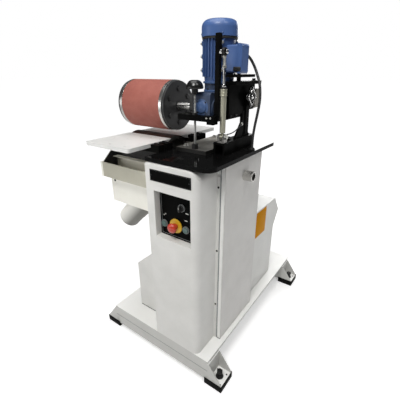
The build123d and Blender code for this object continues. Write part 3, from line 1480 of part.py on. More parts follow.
NODES = {
    "plinth_deck": plinth_deck(),
    "front_beam": cross_beam(deck_front),
    "rear_beam": cross_beam(rear_beam_back - BEAM_DEPTH),
    "foot_brackets": group(foot_bracket(*place) for place in foot_places()),
    "foot_bolts": group(foot_bolt(*place) for place in foot_places()),
    "foot_pads": group(foot_pad(*place) for place in foot_places()),
    "column_left": column_left(),
    "column_right": column_right(),
    "column_front": column_front(),
    "column_back": column_back(),
    "front_cover": front_cover(),
    "nameplate": nameplate(),
    "control_panel": control_panel(),
    "control_bezels": control_bezels(),
    "left_button": push_button(button_x[0]),
    "right_button": push_button(button_x[1]),
    "estop_collar": estop_collar(),
    "estop_button": estop_button(),
    "selector_knob": selector_knob(),
    "rear_box": rear_box(),
    "switchgear": switchgear(),
    "motor_guard": motor_guard(),
    "main_motor": main_motor(),
    "motor_pulley": motor_pulley(),
    "drive_belt": drive_belt(),
    "work_table": work_table(),
    "infeed_table": work_plate(infeed_front, 1),
    "outfeed_table": work_plate(outfeed_back, -1),
    "table_brackets": table_brackets(),
    "roller_core": roller_core(),
    "roller_sleeve": roller_sleeve(),
    "spindle_housing": spindle_housing(),
    "roller_housing": roller_housing(),
    "dust_panel": dust_panel(),
    "dust_spigot": dust_spigot(),
    "drum_core": drum_core(),
    "drum_cover": drum_cover(),
    "drum_discs": drum_discs(),
    "drum_shaft": drum_shaft(),
    "arm_plate": arm_plate(),
    "arm_side_plate": arm_side_plate(),
    "arm_top_plates": arm_top_plates(),
    "arm_post": arm_post(),
    "bearing_block": bearing_block(),
    "gearbox": gearbox(),
    "feed_motor": feed_motor(),
    "fan_cowl": fan_cowl(),
    "terminal_box": terminal_box(),
    "arm_base": arm_base(),
    "rear_fork": rear_fork(),
    "pivot_pin": pivot_pin(),
    "handwheel": handwheel(),
    "strut_foot": strut_foot(),
    "strut_tube": strut_tube(),
    "strut_rod": strut_rod(),
    "stop_screw": stop_screw(),
    "stop_foot": stop_foot(),
    "base_plate": base_plate(),
    "motor_cable": motor_cable(),
    "table_gland": table_gland(),
}

os.makedirs("parts", exist_ok=True)
for name, shape in NODES.items():
    export_step(shape, f"parts/{name}.step")
print(len(NODES), "nodes")
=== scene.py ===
"""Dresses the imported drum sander: finishes for its solids, and the small pieces that they carry.

The frame is that of the solids: +X to the right, +Y to the back, +Z up. Pieces are drawn in
millimetres and taken over in metres. The studio and the cable's route are in metres.
"""
from __future__ import annotations

import json
import logging
import math
from dataclasses import dataclass, replace
from enum import Enum
from itertools import product
from typing import Sequence

import bmesh
import bpy
from mathutils import Matrix, Vector

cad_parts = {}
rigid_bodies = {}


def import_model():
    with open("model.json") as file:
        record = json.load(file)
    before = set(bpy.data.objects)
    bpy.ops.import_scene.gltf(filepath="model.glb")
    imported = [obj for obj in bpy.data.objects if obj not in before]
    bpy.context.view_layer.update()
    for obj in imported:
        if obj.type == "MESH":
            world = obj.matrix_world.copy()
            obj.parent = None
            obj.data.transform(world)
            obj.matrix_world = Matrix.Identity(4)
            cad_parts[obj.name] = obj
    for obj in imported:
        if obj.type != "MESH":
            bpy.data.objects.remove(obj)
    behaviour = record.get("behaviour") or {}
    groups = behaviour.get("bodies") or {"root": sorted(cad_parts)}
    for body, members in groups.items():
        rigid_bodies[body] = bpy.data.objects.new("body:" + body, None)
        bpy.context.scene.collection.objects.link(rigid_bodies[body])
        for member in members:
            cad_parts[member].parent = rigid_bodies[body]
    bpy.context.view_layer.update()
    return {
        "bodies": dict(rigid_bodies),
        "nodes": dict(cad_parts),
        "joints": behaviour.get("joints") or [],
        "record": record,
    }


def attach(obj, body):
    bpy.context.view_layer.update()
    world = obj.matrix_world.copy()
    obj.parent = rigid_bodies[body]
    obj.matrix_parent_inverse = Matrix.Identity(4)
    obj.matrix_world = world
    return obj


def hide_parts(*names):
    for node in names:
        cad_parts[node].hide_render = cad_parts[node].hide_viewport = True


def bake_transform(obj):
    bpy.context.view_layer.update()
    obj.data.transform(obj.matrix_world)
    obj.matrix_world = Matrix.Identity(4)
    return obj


LOG = logging.getLogger("drum_sander")

Colour = tuple[float, float, float]
Point = tuple[float, float, float]
Span = tuple[float, float]
Profile = Sequence[Span]
Head = tuple[float, ...]  # a screw's radius or width across flats, its height, a washer's radius

UP: Point = (0.0, 0.0, 1.0)
RIGHT: Point = (1.0, 0.0, 0.0)
LEFT: Point = (-1.0, 0.0, 0.0)
BACK: Point = (0.0, 1.0, 0.0)
FRONT: Point = (0.0, -1.0, 0.0)

MM = 0.001  # metres in a millimetre
PER_METRE = 1000.0  # millimetres in a metre
ON_AXIS = 1e-7  # a smaller radius counts as a point on the axis
WHOLE: Span = (0.0, 1.0)
PURE_WHITE = (1.0, 1.0, 1.0, 1.0)
QUARTER_TURN = 0.25  # as a share of a turn, which is how the shader counts it
SHARP_SOLID = 28.0  # degrees from which a solid's edge stays sharp
SHARP_PIECE = 32.0  # the same for a piece


class Grain(Enum):
    """The relief that a finish has under the hand."""

    SPRAYED = "sprayed"
    TURNED = "turned"
    GRITTY = "gritty"
    CAST = "cast"
    RUBBERY = "rubbery"
    MOULDED = "moulded"
    POLISHED = "polished"


@dataclass(frozen=True)
class Relief:
    """How a grain is drawn: the size of its marks and how deep they are."""

    scale: float
    detail: float
    depth: float
    strength: float
    cells: bool = False


RELIEFS: dict[Grain, Relief] = {
    Grain.SPRAYED: Relief(420.0, 2.0, 0.00012, 0.22),
    Grain.TURNED: Relief(1.0, 3.0, 0.00008, 0.30),
    Grain.GRITTY: Relief(900.0, 3.0, 0.0005, 0.75, cells=True),
    Grain.CAST: Relief(260.0, 7.0, 0.0005, 0.45),
    Grain.RUBBERY: Relief(500.0, 4.0, 0.0002, 0.35),
    Grain.MOULDED: Relief(900.0, 2.0, 0.0001, 0.25),
    Grain.POLISHED: Relief(60.0, 2.0, 0.00004, 0.10),
}


class NodeBench:
    """Short hand for laying out the nodes of one material or world."""

    def __init__(self, owner: bpy.types.Material | bpy.types.World) -> None:
        """Clears the owner's tree and keeps it at hand.

        Args:
            owner: the material or world.
        """
        owner.use_nodes = True
        self.tree = owner.node_tree
        self.tree.nodes.clear()

    def add(self, kind: str, settings: dict | None = None, **values: object) -> bpy.types.Node:
        """Adds a node.

        Args:
            kind: the node's type name.
            settings: properties of the node itself.
            values: socket values, with underscores for the spaces in their names.

        Returns:
            The new node.
        """
        node = self.tree.nodes.new(kind)
        for key, value in (settings or {}).items():
            setattr(node, key, value)
        for key, value in values.items():
            node.inputs[key.replace("_", " ")].default_value = value
        return node

    def join(self, source: bpy.types.NodeSocket, target: bpy.types.NodeSocket) -> None:
        """Links one socket to another."""
        self.tree.links.new(source, target)

    def remap(self, source: bpy.types.NodeSocket, span: Span,
              onto: Span = WHOLE) -> bpy.types.NodeSocket:
        """Stretches a value from one span onto another.

        Args:
            source: the value to stretch.
            span: where it starts and ends.
            onto: what these become.

        Returns:
            The stretched value.
        """
        node = self.add("ShaderNodeMapRange", From_Min=span[0], From_Max=span[1],
                        To_Min=onto[0], To_Max=onto[1])
        self.join(source, node.inputs["Value"])
        return node.outputs["Result"]

    def cloud(self, place: bpy.types.NodeSocket, scale: float, detail: float,
              rough: float) -> bpy.types.NodeSocket:
        """Adds a noise.

        Args:
            place: where on the surface a point is.
            scale: how small its patches are.
            detail: how many finer layers it has.
            rough: how strong these are.

        Returns:
            The noise's value.
        """
        node = self.add("ShaderNodeTexNoise", Scale=scale, Detail=detail, Roughness=rough)
        self.join(place, node.inputs["Vector"])
        return node.outputs["Fac"]

    def facing(self, normal: bpy.types.NodeSocket) -> bpy.types.Node:
        """Compares a normal with a second one.

        Args:
            normal: the first normal.

        Returns:
            The node, whose second socket takes the second one.
        """
        turn = self.add("ShaderNodeVectorMath", {"operation": "DOT_PRODUCT"})
        self.join(normal, turn.inputs[0])
        return turn

    def blend(self, factor: bpy.types.NodeSocket, first: object,
              second: object) -> bpy.types.NodeSocket:
        """Mixes two colours.

        Args:
            factor: how much of the second one shows.
            first: a colour, or a socket that gives one.
            second: a colour, or a socket that gives one.

        Returns:
            The mixed colour.
        """
        node = self.add("ShaderNodeMix", {"data_type": "RGBA"})
        self.join(factor, node.inputs[0])
        for index, value in ((6, first), (7, second)):
            if isinstance(value, bpy.types.NodeSocket):
                self.join(value, node.inputs[index])
            else:
                node.inputs[index].default_value = (*value, 1.0)
        return node.outputs[2]

    def times(self, first: bpy.types.NodeSocket, second: object) -> bpy.types.NodeSocket:
        """Multiplies a value.

        Args:
            first: the value.
            second: a number, or a socket that gives one.

        Returns:
            The product.
        """
        node = self.add("ShaderNodeMath", {"operation": "MULTIPLY"})
        self.join(first, node.inputs[0])
        if isinstance(second, bpy.types.NodeSocket):
            self.join(second, node.inputs[1])
        else:
            node.inputs[1].default_value = second
        return node.outputs[0]


@dataclass(frozen=True)
class Finish:
    """One paint, metal, rubber or plastic, and how its nodes are made.

    Args:
        name: what the material is called.
        colour: its main colour.
        tone: the colour that drifts into it in clouds.
        grain: the relief of its surface.
        rough: its least and greatest roughness.
        metal: how far it is a metal.
        coat: how strong a clear coat it has.
        worn: the colour of rubbed corners.
        wear: how far they are rubbed.
        rounding: how wide its edges look rounded, in metres.
        run: how the relief is stretched along each axis.
        cloud: how small its clouds are.
        gloss: how strongly a surface that isn't metal mirrors.
        lid: the tone of faces that look one way, which is painted light or shade.
        lid_way: the way that these look.
        lid_span: how well a face has to look that way, from no tone to full tone.
        fade_y: where the lid's tone starts and is full along Y, in metres; the fade is painted shade
            towards the front.
        turning: how far turning marks stretch the gloss along the axis.
        turned_about: that axis.
    """

    name: str
    colour: Colour
    tone: Colour
    grain: Grain
    rough: Span
    metal: float = 0.0
    coat: float = 0.0
    worn: Colour = (0.0, 0.0, 0.0)
    wear: float = 0.0
    rounding: float = 0.0012
    run: Point = (1.0, 1.0, 1.0)
    cloud: float = 9.0
    gloss: float = 0.5
    lid: Colour | None = None
    lid_way: Point = UP
    lid_span: Span = (0.90, 0.98)
    fade_y: Span | None = None
    turning: float = 0.0
    turned_about: str = "X"

    # Scale, detail and roughness of the noise in each finish's gloss and in its rubbed corners
    SMEAR = (28.0, 6.0, 0.65)
    RUBBING = (110.0, 5.0, 0.7)
    COAT_ROUGH = 0.12
    PIT_SHADE = 0.45  # how much darker it is between gritty grains

    def material(self) -> bpy.types.Material:
        """Gives the finish's material, made when it is first asked for."""
        found = bpy.data.materials.get(self.name)
        return found if found else self._made()

    def _made(self) -> bpy.types.Material:
        """Lays out the nodes: colour drift, painted light or shade on faces that look one way, worn
        edges, uneven gloss and relief.

        Returns:
            The new material.
        """
        material = bpy.data.materials.new(self.name)
        bench = NodeBench(material)
        place = bench.add("ShaderNodeTexCoord").outputs["Object"]
        shader = bench.add("ShaderNodeBsdfPrincipled", Metallic=self.metal, Coat_Weight=self.coat,
                           Coat_Roughness=self.COAT_ROUGH, Specular_IOR_Level=self.gloss)
        out = bench.add("ShaderNodeOutputMaterial")
        bench.join(shader.outputs["BSDF"], out.inputs["Surface"])
        if self.turning > 0.0:
            marks = bench.add("ShaderNodeTangent",
                              {"direction_type": "RADIAL", "axis": self.turned_about})
            bench.join(marks.outputs["Tangent"], shader.inputs["Tangent"])
            shader.inputs["Anisotropic"].default_value = self.turning
            shader.inputs["Anisotropic Rotation"].default_value = QUARTER_TURN

        drift = bench.remap(bench.cloud(place, self.cloud, 5.0, 0.6), (0.35, 0.65))
        colour = bench.blend(drift, self.colour, self.tone)
        fine = self._grain(bench, place)
        relief = RELIEFS[self.grain]
        if relief.cells:
            shade = tuple(channel * self.PIT_SHADE for channel in self.colour)
            colour = bench.blend(bench.remap(fine, (0.15, 0.75), (0.55, 0.0)), colour, shade)
        # painted light and shade: faces that look the lid's way take the lid's tone
        if self.lid:
            colour = bench.blend(self._lid_share(bench, place), colour, self.lid)
        edge = bench.add("ShaderNodeBevel", {"samples": 4}, Radius=self.rounding)
        if self.wear > 0.0:
            colour = bench.blend(self._edges(bench, edge, place), colour, self.worn)
        bench.join(colour, shader.inputs["Base Color"])
        smear = bench.cloud(place, *self.SMEAR)
        bench.join(bench.remap(smear, (0.3, 0.7), self.rough), shader.inputs["Roughness"])

        bump = bench.add("ShaderNodeBump", Strength=relief.strength, Distance=relief.depth)
        bench.join(fine, bump.inputs["Height"])
        bench.join(edge.outputs["Normal"], bump.inputs["Normal"])
        bench.join(bump.outputs["Normal"], shader.inputs["Normal"])
        return material

    def _grain(self, bench: NodeBench, place: bpy.types.NodeSocket) -> bpy.types.NodeSocket:
        """Draws the fine marks of the surface.

        Args:
            bench: the material's nodes.
            place: where on the surface a point is.

        Returns:
            The height of the marks.
        """
        relief = RELIEFS[self.grain]
        stretch = bench.add("ShaderNodeMapping", Scale=self.run)
        bench.join(place, stretch.inputs["Vector"])
        if not relief.cells:
            return bench.cloud(stretch.outputs["Vector"], relief.scale, relief.detail, 0.55)
        cells = bench.add("ShaderNodeTexVoronoi", Scale=relief.scale, Randomness=1.0)
        bench.join(stretch.outputs["Vector"], cells.inputs["Vector"])
        return cells.outputs["Distance"]

    def _lid_share(self, bench: NodeBench, place: bpy.types.NodeSocket) -> bpy.types.NodeSocket:
        """Finds the faces that look the lid's way, which take painted light or shade.

        Args:
            bench: the material's nodes.
            place: where on the surface a point is.

        Returns:
            How far a point takes the lid's tone.
        """
        turn = bench.facing(bench.add("ShaderNodeNewGeometry").outputs["Normal"])
        turn.inputs[1].default_value = Vector(self.lid_way).normalized()
        share = bench.remap(turn.outputs["Value"], self.lid_span)
        if not self.fade_y:
            return share
        # painted shade: the lid's tone falls to a tenth towards low Y, the front
        parts = bench.add("ShaderNodeSeparateXYZ")
        bench.join(place, parts.inputs["Vector"])
        return bench.times(share, bench.remap(parts.outputs["Y"], self.fade_y, (0.10, 1.0)))

    def _edges(self, bench: NodeBench, edge: bpy.types.Node,
               place: bpy.types.NodeSocket) -> bpy.types.NodeSocket:
        """Finds the rubbed corners.

        Args:
            bench: the material's nodes.
            edge: the rounded edges' node.
            place: where on the surface a point is.

        Returns:
            How worn a point is.
        """
        turn = bench.facing(edge.outputs["Normal"])
        bench.join(bench.add("ShaderNodeNewGeometry").outputs["Normal"], turn.inputs[1])
        corner = bench.remap(turn.outputs["Value"], (0.985, 0.90))
        rubbed = bench.remap(bench.cloud(place, *self.RUBBING), (0.50, 0.64))
        return bench.times(bench.times(corner, rubbed), self.wear)


# Paints
WHITE = Finish("sprayed_white", (0.80, 0.795, 0.77), (0.745, 0.742, 0.715), Grain.SPRAYED, (0.34, 0.50),
               worn=(0.45, 0.44, 0.42), wear=0.35)
# painted shade: a darker copy of the white for the column's right side
SHADED_SIDE_WHITE = replace(WHITE, name="shaded_side_white", colour=(0.74, 0.728, 0.705), tone=(0.685, 0.673, 0.65))
# painted light: a brighter copy of the white for the column's front strip
LIT_FRONT_WHITE = replace(WHITE, name="lit_front_white", colour=(0.96, 0.96, 0.94), tone=(0.92, 0.92, 0.90))
REAR_WHITE = replace(WHITE, name="rear_white", colour=(0.80, 0.80, 0.775), tone=(0.755, 0.755, 0.73))
# painted light and shade: a darker white for the plinth's sides and a bright lid on the faces that look
# up
PLINTH_WHITE_LIT_TOP = replace(WHITE, name="plinth_white_lit_top", colour=(0.63, 0.627, 0.603),
                       tone=(0.585, 0.582, 0.558), worn=(0.40, 0.39, 0.37), lid=(0.97, 0.97, 0.945))
HOUSING = replace(WHITE, name="housing_white", colour=(0.93, 0.918, 0.85), tone=(0.885, 0.872, 0.80),
                  rough=(0.36, 0.52), wear=0.3)
# painted light and shade: dark grey, turning near white on faces that look up, left and forward
SPIGOT_LIGHT_AND_SHADE = replace(HOUSING, name="spigot_painted_light", colour=(0.24, 0.235, 0.215), tone=(0.20, 0.196, 0.18),
                 rough=(0.30, 0.44), lid=(0.97, 0.96, 0.91), lid_way=(-0.6, -0.4, 0.7),
                 lid_span=(-0.3, 0.9))
# painted shade: a darker copy of the housing's cream for the trough's lip
LIP_SHADE = replace(HOUSING, name="lip_painted_shade", colour=(0.47, 0.455, 0.375), tone=(0.43, 0.415, 0.335),
                    worn=(0.40, 0.39, 0.36))
CREAM = Finish("sprayed_cream", (0.95, 0.92, 0.80), (0.88, 0.85, 0.73), Grain.SPRAYED, (0.38, 0.55))
TABLE_WHITE = Finish("table_white", (0.82, 0.82, 0.80), (0.76, 0.765, 0.745), Grain.SPRAYED,
                     (0.25, 0.42), worn=(0.42, 0.41, 0.40), wear=0.45)
BLACK = Finish("black_enamel", (0.003, 0.003, 0.003), (0.006, 0.006, 0.0055), Grain.SPRAYED,
               (0.26, 0.42), worn=(0.10, 0.097, 0.094), wear=0.3, gloss=0.02)
TABLE_BLACK = Finish("table_enamel", (0.003, 0.003, 0.003), (0.005, 0.005, 0.005), Grain.POLISHED,
                     (0.05, 0.11), worn=(0.06, 0.06, 0.057), wear=0.2, gloss=0.08)
BLUE = Finish("blue_enamel", (0.072, 0.141, 0.350), (0.057, 0.117, 0.298), Grain.SPRAYED, (0.30, 0.45),
              coat=0.1, worn=(0.30, 0.31, 0.33), wear=0.35)
# painted shade: a darker copy of the blue for the finned motor body, its lugs and painted screws
SHADED_BLUE = replace(BLUE, name="motor_shaded_blue", colour=(0.054, 0.108, 0.272), tone=(0.042, 0.088, 0.228))
STRUT = Finish("strut_beige", (0.50, 0.49, 0.385), (0.44, 0.43, 0.335), Grain.SPRAYED, (0.30, 0.38),
               metal=0.8, turning=0.85, turned_about="Z")

# Castings
GEAR_LIGHT = Finish("gear_cover_blue", (0.052, 0.105, 0.245), (0.040, 0.084, 0.200), Grain.CAST,
                    (0.32, 0.5), worn=(0.28, 0.28, 0.28), wear=0.3)
GEAR_BLUE = replace(GEAR_LIGHT, name="gear_casting", colour=(0.035, 0.055, 0.105),
                    tone=(0.026, 0.042, 0.085), rough=(0.38, 0.58))
MOTOR_GREY = Finish("motor_grey", (0.20, 0.215, 0.225), (0.15, 0.16, 0.17), Grain.CAST, (0.42, 0.6))
IRON = Finish("dark_casting", (0.030, 0.031, 0.032), (0.022, 0.022, 0.022), Grain.CAST, (0.42, 0.65))
ALLOY = Finish("grey_casting", (0.105, 0.10, 0.09), (0.082, 0.078, 0.070), Grain.CAST, (0.45, 0.62))

# Metals
STEEL_X = Finish("turned_steel", (0.66, 0.655, 0.63), (0.56, 0.555, 0.535), Grain.TURNED, (0.20, 0.38),
                 metal=1.0, run=(1500.0, 6.0, 6.0), rounding=0.0006)
STEEL_Z = Finish("drawn_steel", (0.62, 0.62, 0.60), (0.52, 0.52, 0.50), Grain.TURNED, (0.22, 0.40),
                 metal=1.0, run=(900.0, 900.0, 12.0), rounding=0.0005)
TUBE_STEEL = Finish("tube_steel", (0.74, 0.73, 0.70), (0.62, 0.61, 0.585), Grain.TURNED, (0.16, 0.30),
                    metal=1.0, run=(900.0, 6.0, 6.0), rounding=0.0005)
DISC_BLACK = Finish("disc_black", (0.024, 0.024, 0.025), (0.034, 0.034, 0.034), Grain.TURNED,
                    (0.36, 0.52), run=(6.0, 700.0, 700.0), worn=(0.20, 0.20, 0.19), wear=0.4)
SHAFT_STEEL = Finish("shaft_steel", (0.84, 0.83, 0.80), (0.76, 0.75, 0.72), Grain.POLISHED, (0.24, 0.30),
                     metal=1.0, rounding=0.0006, turning=0.9)
CHROME = Finish("hard_chrome", (0.83, 0.83, 0.82), (0.78, 0.78, 0.77), Grain.POLISHED, (0.06, 0.14),
                metal=1.0, rounding=0.0005)
ZINC = Finish("zinc_bolt", (0.60, 0.60, 0.57), (0.48, 0.48, 0.44), Grain.POLISHED, (0.28, 0.48),
              metal=1.0, rounding=0.0004, cloud=60.0)
BLACK_OXIDE = replace(ZINC, name="black_oxide", colour=(0.020, 0.020, 0.021), tone=(0.035, 0.034, 0.033),
                      rough=(0.35, 0.55), metal=0.6)
CLEVIS = replace(ZINC, name="clevis_steel", colour=(0.30, 0.29, 0.275), tone=(0.20, 0.195, 0.185),
                 rough=(0.24, 0.42), metal=0.9, rounding=0.0005)
DULL_STEEL = Finish("dull_steel", (0.33, 0.315, 0.280), (0.25, 0.240, 0.215), Grain.CAST, (0.36, 0.56),
                    metal=0.2, worn=(0.42, 0.41, 0.38), wear=0.5, cloud=26.0)
# black plate whose top faces take a grey tone, partly its own ground face and partly painted light; the
# tone fades towards the front as painted shade
GROUND_AND_SHADE = Finish("ground_plate_and_painted_light", (0.012, 0.012, 0.011), (0.018, 0.017, 0.016), Grain.CAST, (0.30, 0.48),
                worn=(0.12, 0.115, 0.105), wear=0.4, cloud=26.0, gloss=0.2, lid=(0.58, 0.56, 0.50),
                fade_y=(-0.27, -0.10))

# Cloth, rubber and plastics
RED_COVER = Finish("drum_cloth", (0.42, 0.130, 0.098), (0.35, 0.102, 0.077), Grain.GRITTY, (0.62, 0.82),
                   rounding=0.001, cloud=14.0)
ABRASIVE = Finish("abrasive_cloth", (0.062, 0.026, 0.018), (0.045, 0.020, 0.014), Grain.GRITTY,
                  (0.7, 0.9), cloud=20.0)
RUBBER = Finish("black_rubber_skin", (0.017, 0.017, 0.017), (0.026, 0.025, 0.024), Grain.RUBBERY,
                (0.55, 0.75))
PAD_RUBBER = replace(RUBBER, name="pad_rubber", colour=(0.004, 0.004, 0.004),
                     tone=(0.007, 0.007, 0.0065), gloss=0.08)
CABLE_SKIN = Finish("cable_skin", (0.015, 0.015, 0.016), (0.024, 0.024, 0.024), Grain.RUBBERY,
                    (0.40, 0.60))
KNOB = Finish("knob_moulding", (0.007, 0.007, 0.007), (0.012, 0.012, 0.012), Grain.POLISHED,
              (0.14, 0.26))
PLASTIC = Finish("black_moulding", (0.010, 0.010, 0.010), (0.015, 0.015, 0.015), Grain.MOULDED,
                 (0.30, 0.46))
PANEL = replace(PLASTIC, name="panel_foil", colour=(0.0015, 0.0015, 0.0015),
                tone=(0.0025, 0.0025, 0.0025), gloss=0.03)
BEZEL = Finish("bezel_grey", (0.20, 0.21, 0.21), (0.16, 0.17, 0.17), Grain.MOULDED, (0.25, 0.40))
YELLOW = Finish("yellow_moulding", (0.78, 0.47, 0.03), (0.70, 0.41, 0.02), Grain.MOULDED, (0.28, 0.42))
RED = Finish("red_moulding", (0.54, 0.047, 0.023), (0.46, 0.038, 0.018), Grain.MOULDED, (0.18, 0.30),
             coat=0.3)
GREEN = Finish("grey_green_moulding", (0.10, 0.165, 0.150), (0.08, 0.135, 0.125), Grain.MOULDED,
               (0.22, 0.36))
AMBER = Finish("amber_plate", (0.72, 0.300, 0.001), (0.64, 0.260, 0.001), Grain.MOULDED, (0.40, 0.56),
               gloss=0.02)
MARK = Finish("pale_marking", (0.62, 0.62, 0.59), (0.54, 0.54, 0.51), Grain.MOULDED, (0.4, 0.55))


def toward(at: Point, axis: Point) -> Matrix:
    """Stands a form that is made on the origin at a point, along an axis."""
    return Matrix.Translation(at) @ Vector(axis).to_track_quat("Z", "Y").to_matrix().to_4x4()


def around(centre: Point, radius: float, axis: Point, angles: Sequence[float]) -> list[Point]:
    """Lists points on a circle.

    Args:
        centre: the circle's middle.
        radius: half its width.
        axis: what it goes round, one of the frame's own axes.
        angles: where on the circle the points are.

    Returns:
        The points, in the order of the angles.
    """
    points = []
    for angle in angles:
        steps = iter((radius * math.cos(angle), radius * math.sin(angle)))
        points.append(tuple(value if along else value + next(steps)
                            for value, along in zip(centre, axis)))
    return points


class Piece:
    """One visible piece: a mesh put together from turned, cut and swept forms."""

    HEX_CHAMFER = (0.86, 0.80)  # shares of a hexagon's width and height
    BOLT_WASHER = 1.5  # thickness of the washer under a bolt's head

    def __init__(self, name: str) -> None:
        """Starts an empty piece."""
        self.name = name
        self.mesh = bmesh.new()

    def _take(self, form: bmesh.types.BMesh, place: Matrix = Matrix.Identity(4)) -> "Piece":
        """Adds a finished form to the piece, in metres.

        Args:
            form: the form in millimetres, which is used up.
            place: where it goes.

        Returns:
            The piece itself.
        """
        bmesh.ops.transform(form, matrix=Matrix.Scale(MM, 4) @ place, verts=form.verts)
        bmesh.ops.recalc_face_normals(form, faces=form.faces)
        carrier = bpy.data.meshes.new("form")
        form.to_mesh(carrier)
        form.free()
        self.mesh.from_mesh(carrier)
        bpy.data.meshes.remove(carrier)
        return self

    def turned(self, profile: Profile, at: Point, axis: Point, steps: int = 40, ring: bool = False,
               lobes: int = 0, depth: float = 0.0) -> "Piece":
        """Adds a form turned about an axis.

        Args:
            profile: radius and height of each point along the section.
            at: where the section's foot stands.
            axis: the direction of its height.
            steps: how many facets go round.
            ring: whether the section closes on itself.
            lobes: how many waves go round the rim.
            depth: how deep these are, as a share of the radius.

        Returns:
            The piece itself.
        """
        form = bmesh.new()
        widest = max(radius for radius, _ in profile)
        rows = []
        for radius, height in profile:
            if radius < ON_AXIS:
                rows.append([form.verts.new((0.0, 0.0, height))])
                continue
            row = []
            for step in range(steps):
                angle = math.tau * step / steps
                wave = 1.0
                if lobes:
                    wave += depth * (radius / widest) ** 2 * math.cos(lobes * angle)
                reach = radius * wave
                row.append(form.verts.new((reach * math.cos(angle), reach * math.sin(angle), height)))
            rows.append(row)
        pairs = list(zip(rows, rows[1:]))
        if ring:
            pairs.append((rows[-1], rows[0]))
        for low, high in pairs:
            for step in range(steps):
                after = (step + 1) % steps
                corners = (low[step % len(low)], low[after % len(low)],
                           high[after % len(high)], high[step % len(high)])
                face = list(dict.fromkeys(corners))
                if len(face) > 2:
                    form.faces.new(face)
        return self._take(form, toward(at, axis))

    def block(self, low: Point, high: Point, bevel: float = 1.0, segments: int = 2,
              place: Matrix = Matrix.Identity(4)) -> "Piece":
        """Adds a box with rounded edges.

        Args:
            low: its lowest corner.
            high: its highest corner.
            bevel: the edges' width.
            segments: how many facets round an edge.
            place: where the box goes after that.

        Returns:
            The piece itself.
        """
        form = bmesh.new()
        bmesh.ops.create_cube(form, size=1.0)
        bmesh.ops.scale(form, vec=Vector(high) - Vector(low), verts=form.verts)
        bmesh.ops.translate(form, vec=(Vector(low) + Vector(high)) / 2, verts=form.verts)
        bmesh.ops.bevel(form, geom=form.edges[:], offset=bevel, segments=segments, affect="EDGES",
                        profile=0.5)
        return self._take(form, place)

    def washer(self, at: Point, axis: Point, outer: float, inner: float, thick: float) -> "Piece":
        """Adds a flat ring with broken edges.

        Args:
            at: the face that it lies on.
            axis: the way it stands out.
            outer: its outer radius.
            inner: its inner radius.
            thick: its thickness.

        Returns:
            The piece itself.
        """
        rim = min(0.4, thick / 4)
        section = ((inner, 0.0), (outer - rim, 0.0), (outer, rim), (outer, thick - rim),
                   (outer - rim, thick), (inner, thick))
        return self.turned(section, at, axis, ring=True)

    def hexagon(self, at: Point, axis: Point, across: float, height: float) -> "Piece":
        """Adds a bolt head or nut with a chamfered top.

        Args:
            at: the face that it sits on.
            axis: the way it stands out.
            across: its width across flats.
            height: how high it is.

        Returns:
            The piece itself.
        """
        wide = across / math.sqrt(3)
        crown, shoulder = self.HEX_CHAMFER
        section = ((0.0, 0.0), (wide, 0.0), (wide, height * shoulder), (wide * crown, height),
                   (0.0, height))
        return self.turned(section, at, axis, steps=6)

    def bolt(self, at: Point, axis: Point, across: float, height: float,
             washer: float = 0.0) -> "Piece":
        """Adds a bolt head, on a washer if that has a size.

        Args:
            at: the face that it sits on.
            axis: the way it stands out.
            across: its width across flats.
            height: how high it is with its washer.
            washer: the washer's radius.

        Returns:
            The piece itself.
        """
        lift = 0.0
        if washer > 0.0:
            lift = self.BOLT_WASHER
            self.washer(at, axis, washer, across * 0.3, lift)
        foot = tuple(Vector(at) + Vector(axis) * lift)
        return self.hexagon(foot, axis, across, height - lift)

    def cap_screw(self, at: Point, axis: Point, radius: float, height: float) -> "Piece":
        """Adds a round screw head with a socket in it.

        Args:
            at: the face that it sits on.
            axis: the way it stands out.
            radius: half its width.
            height: how high it is.

        Returns:
            The piece itself.
        """
        rim, socket = radius * 0.12, radius * 0.52
        section = ((0.0, 0.0), (radius, 0.0), (radius, height - rim), (radius - rim, height),
                   (socket, height), (socket * 0.92, height * 0.45), (0.0, height * 0.40))
        return self.turned(section, at, axis, steps=24)

    def dome_screw(self, at: Point, axis: Point, radius: float, height: float) -> "Piece":
        """Adds a low rounded screw head.

        Args:
            at: the face that it sits on.
            axis: the way it stands out.
            radius: half its width.
            height: how high it is.

        Returns:
            The piece itself.
        """
        section = [(0.0, 0.0), (radius, 0.0)]
        section += [(radius * math.cos(t * math.pi / 10),
                     height * (0.25 + 0.75 * math.sin(t * math.pi / 10))) for t in range(1, 5)]
        section.append((0.0, height))
        return self.turned(section, at, axis, steps=20)

    def thread(self, at: Point, axis: Point, radius: float, length: float, pitch: float) -> "Piece":
        """Adds a threaded length, drawn as close rings.

        Args:
            at: its foot.
            axis: the way it runs.
            radius: half its thickness over the crests.
            length: how long it is.
            pitch: the distance between two crests.

        Returns:
            The piece itself.
        """
        root = radius - pitch * 0.45
        section = [(0.0, 0.0)]
        for turn in range(round(length / pitch)):
            section += [(root, turn * pitch), (radius, (turn + 0.5) * pitch)]
        section += [(root, length), (0.0, length)]
        return self.turned(section, at, axis, steps=20)

    def border(self, wide: Span, high: Span, y: float, line: float, proud: float) -> "Piece":
        """Adds a raised line round an upright plate that looks to the front.

        Args:
            wide: where the line starts and ends across.
            high: where it starts and ends upwards.
            y: the plate's face.
            line: the line's width.
            proud: how far it stands out.

        Returns:
            The piece itself.
        """
        (x0, x1), (z0, z1) = wide, high
        for z in (z0, z1 - line):
            self.block((x0, y - proud, z), (x1, y + 0.3, z + line), 0.2)
        for x in (x0, x1 - line):
            self.block((x, y - proud, z0), (x + line, y + 0.3, z1), 0.2)
        return self

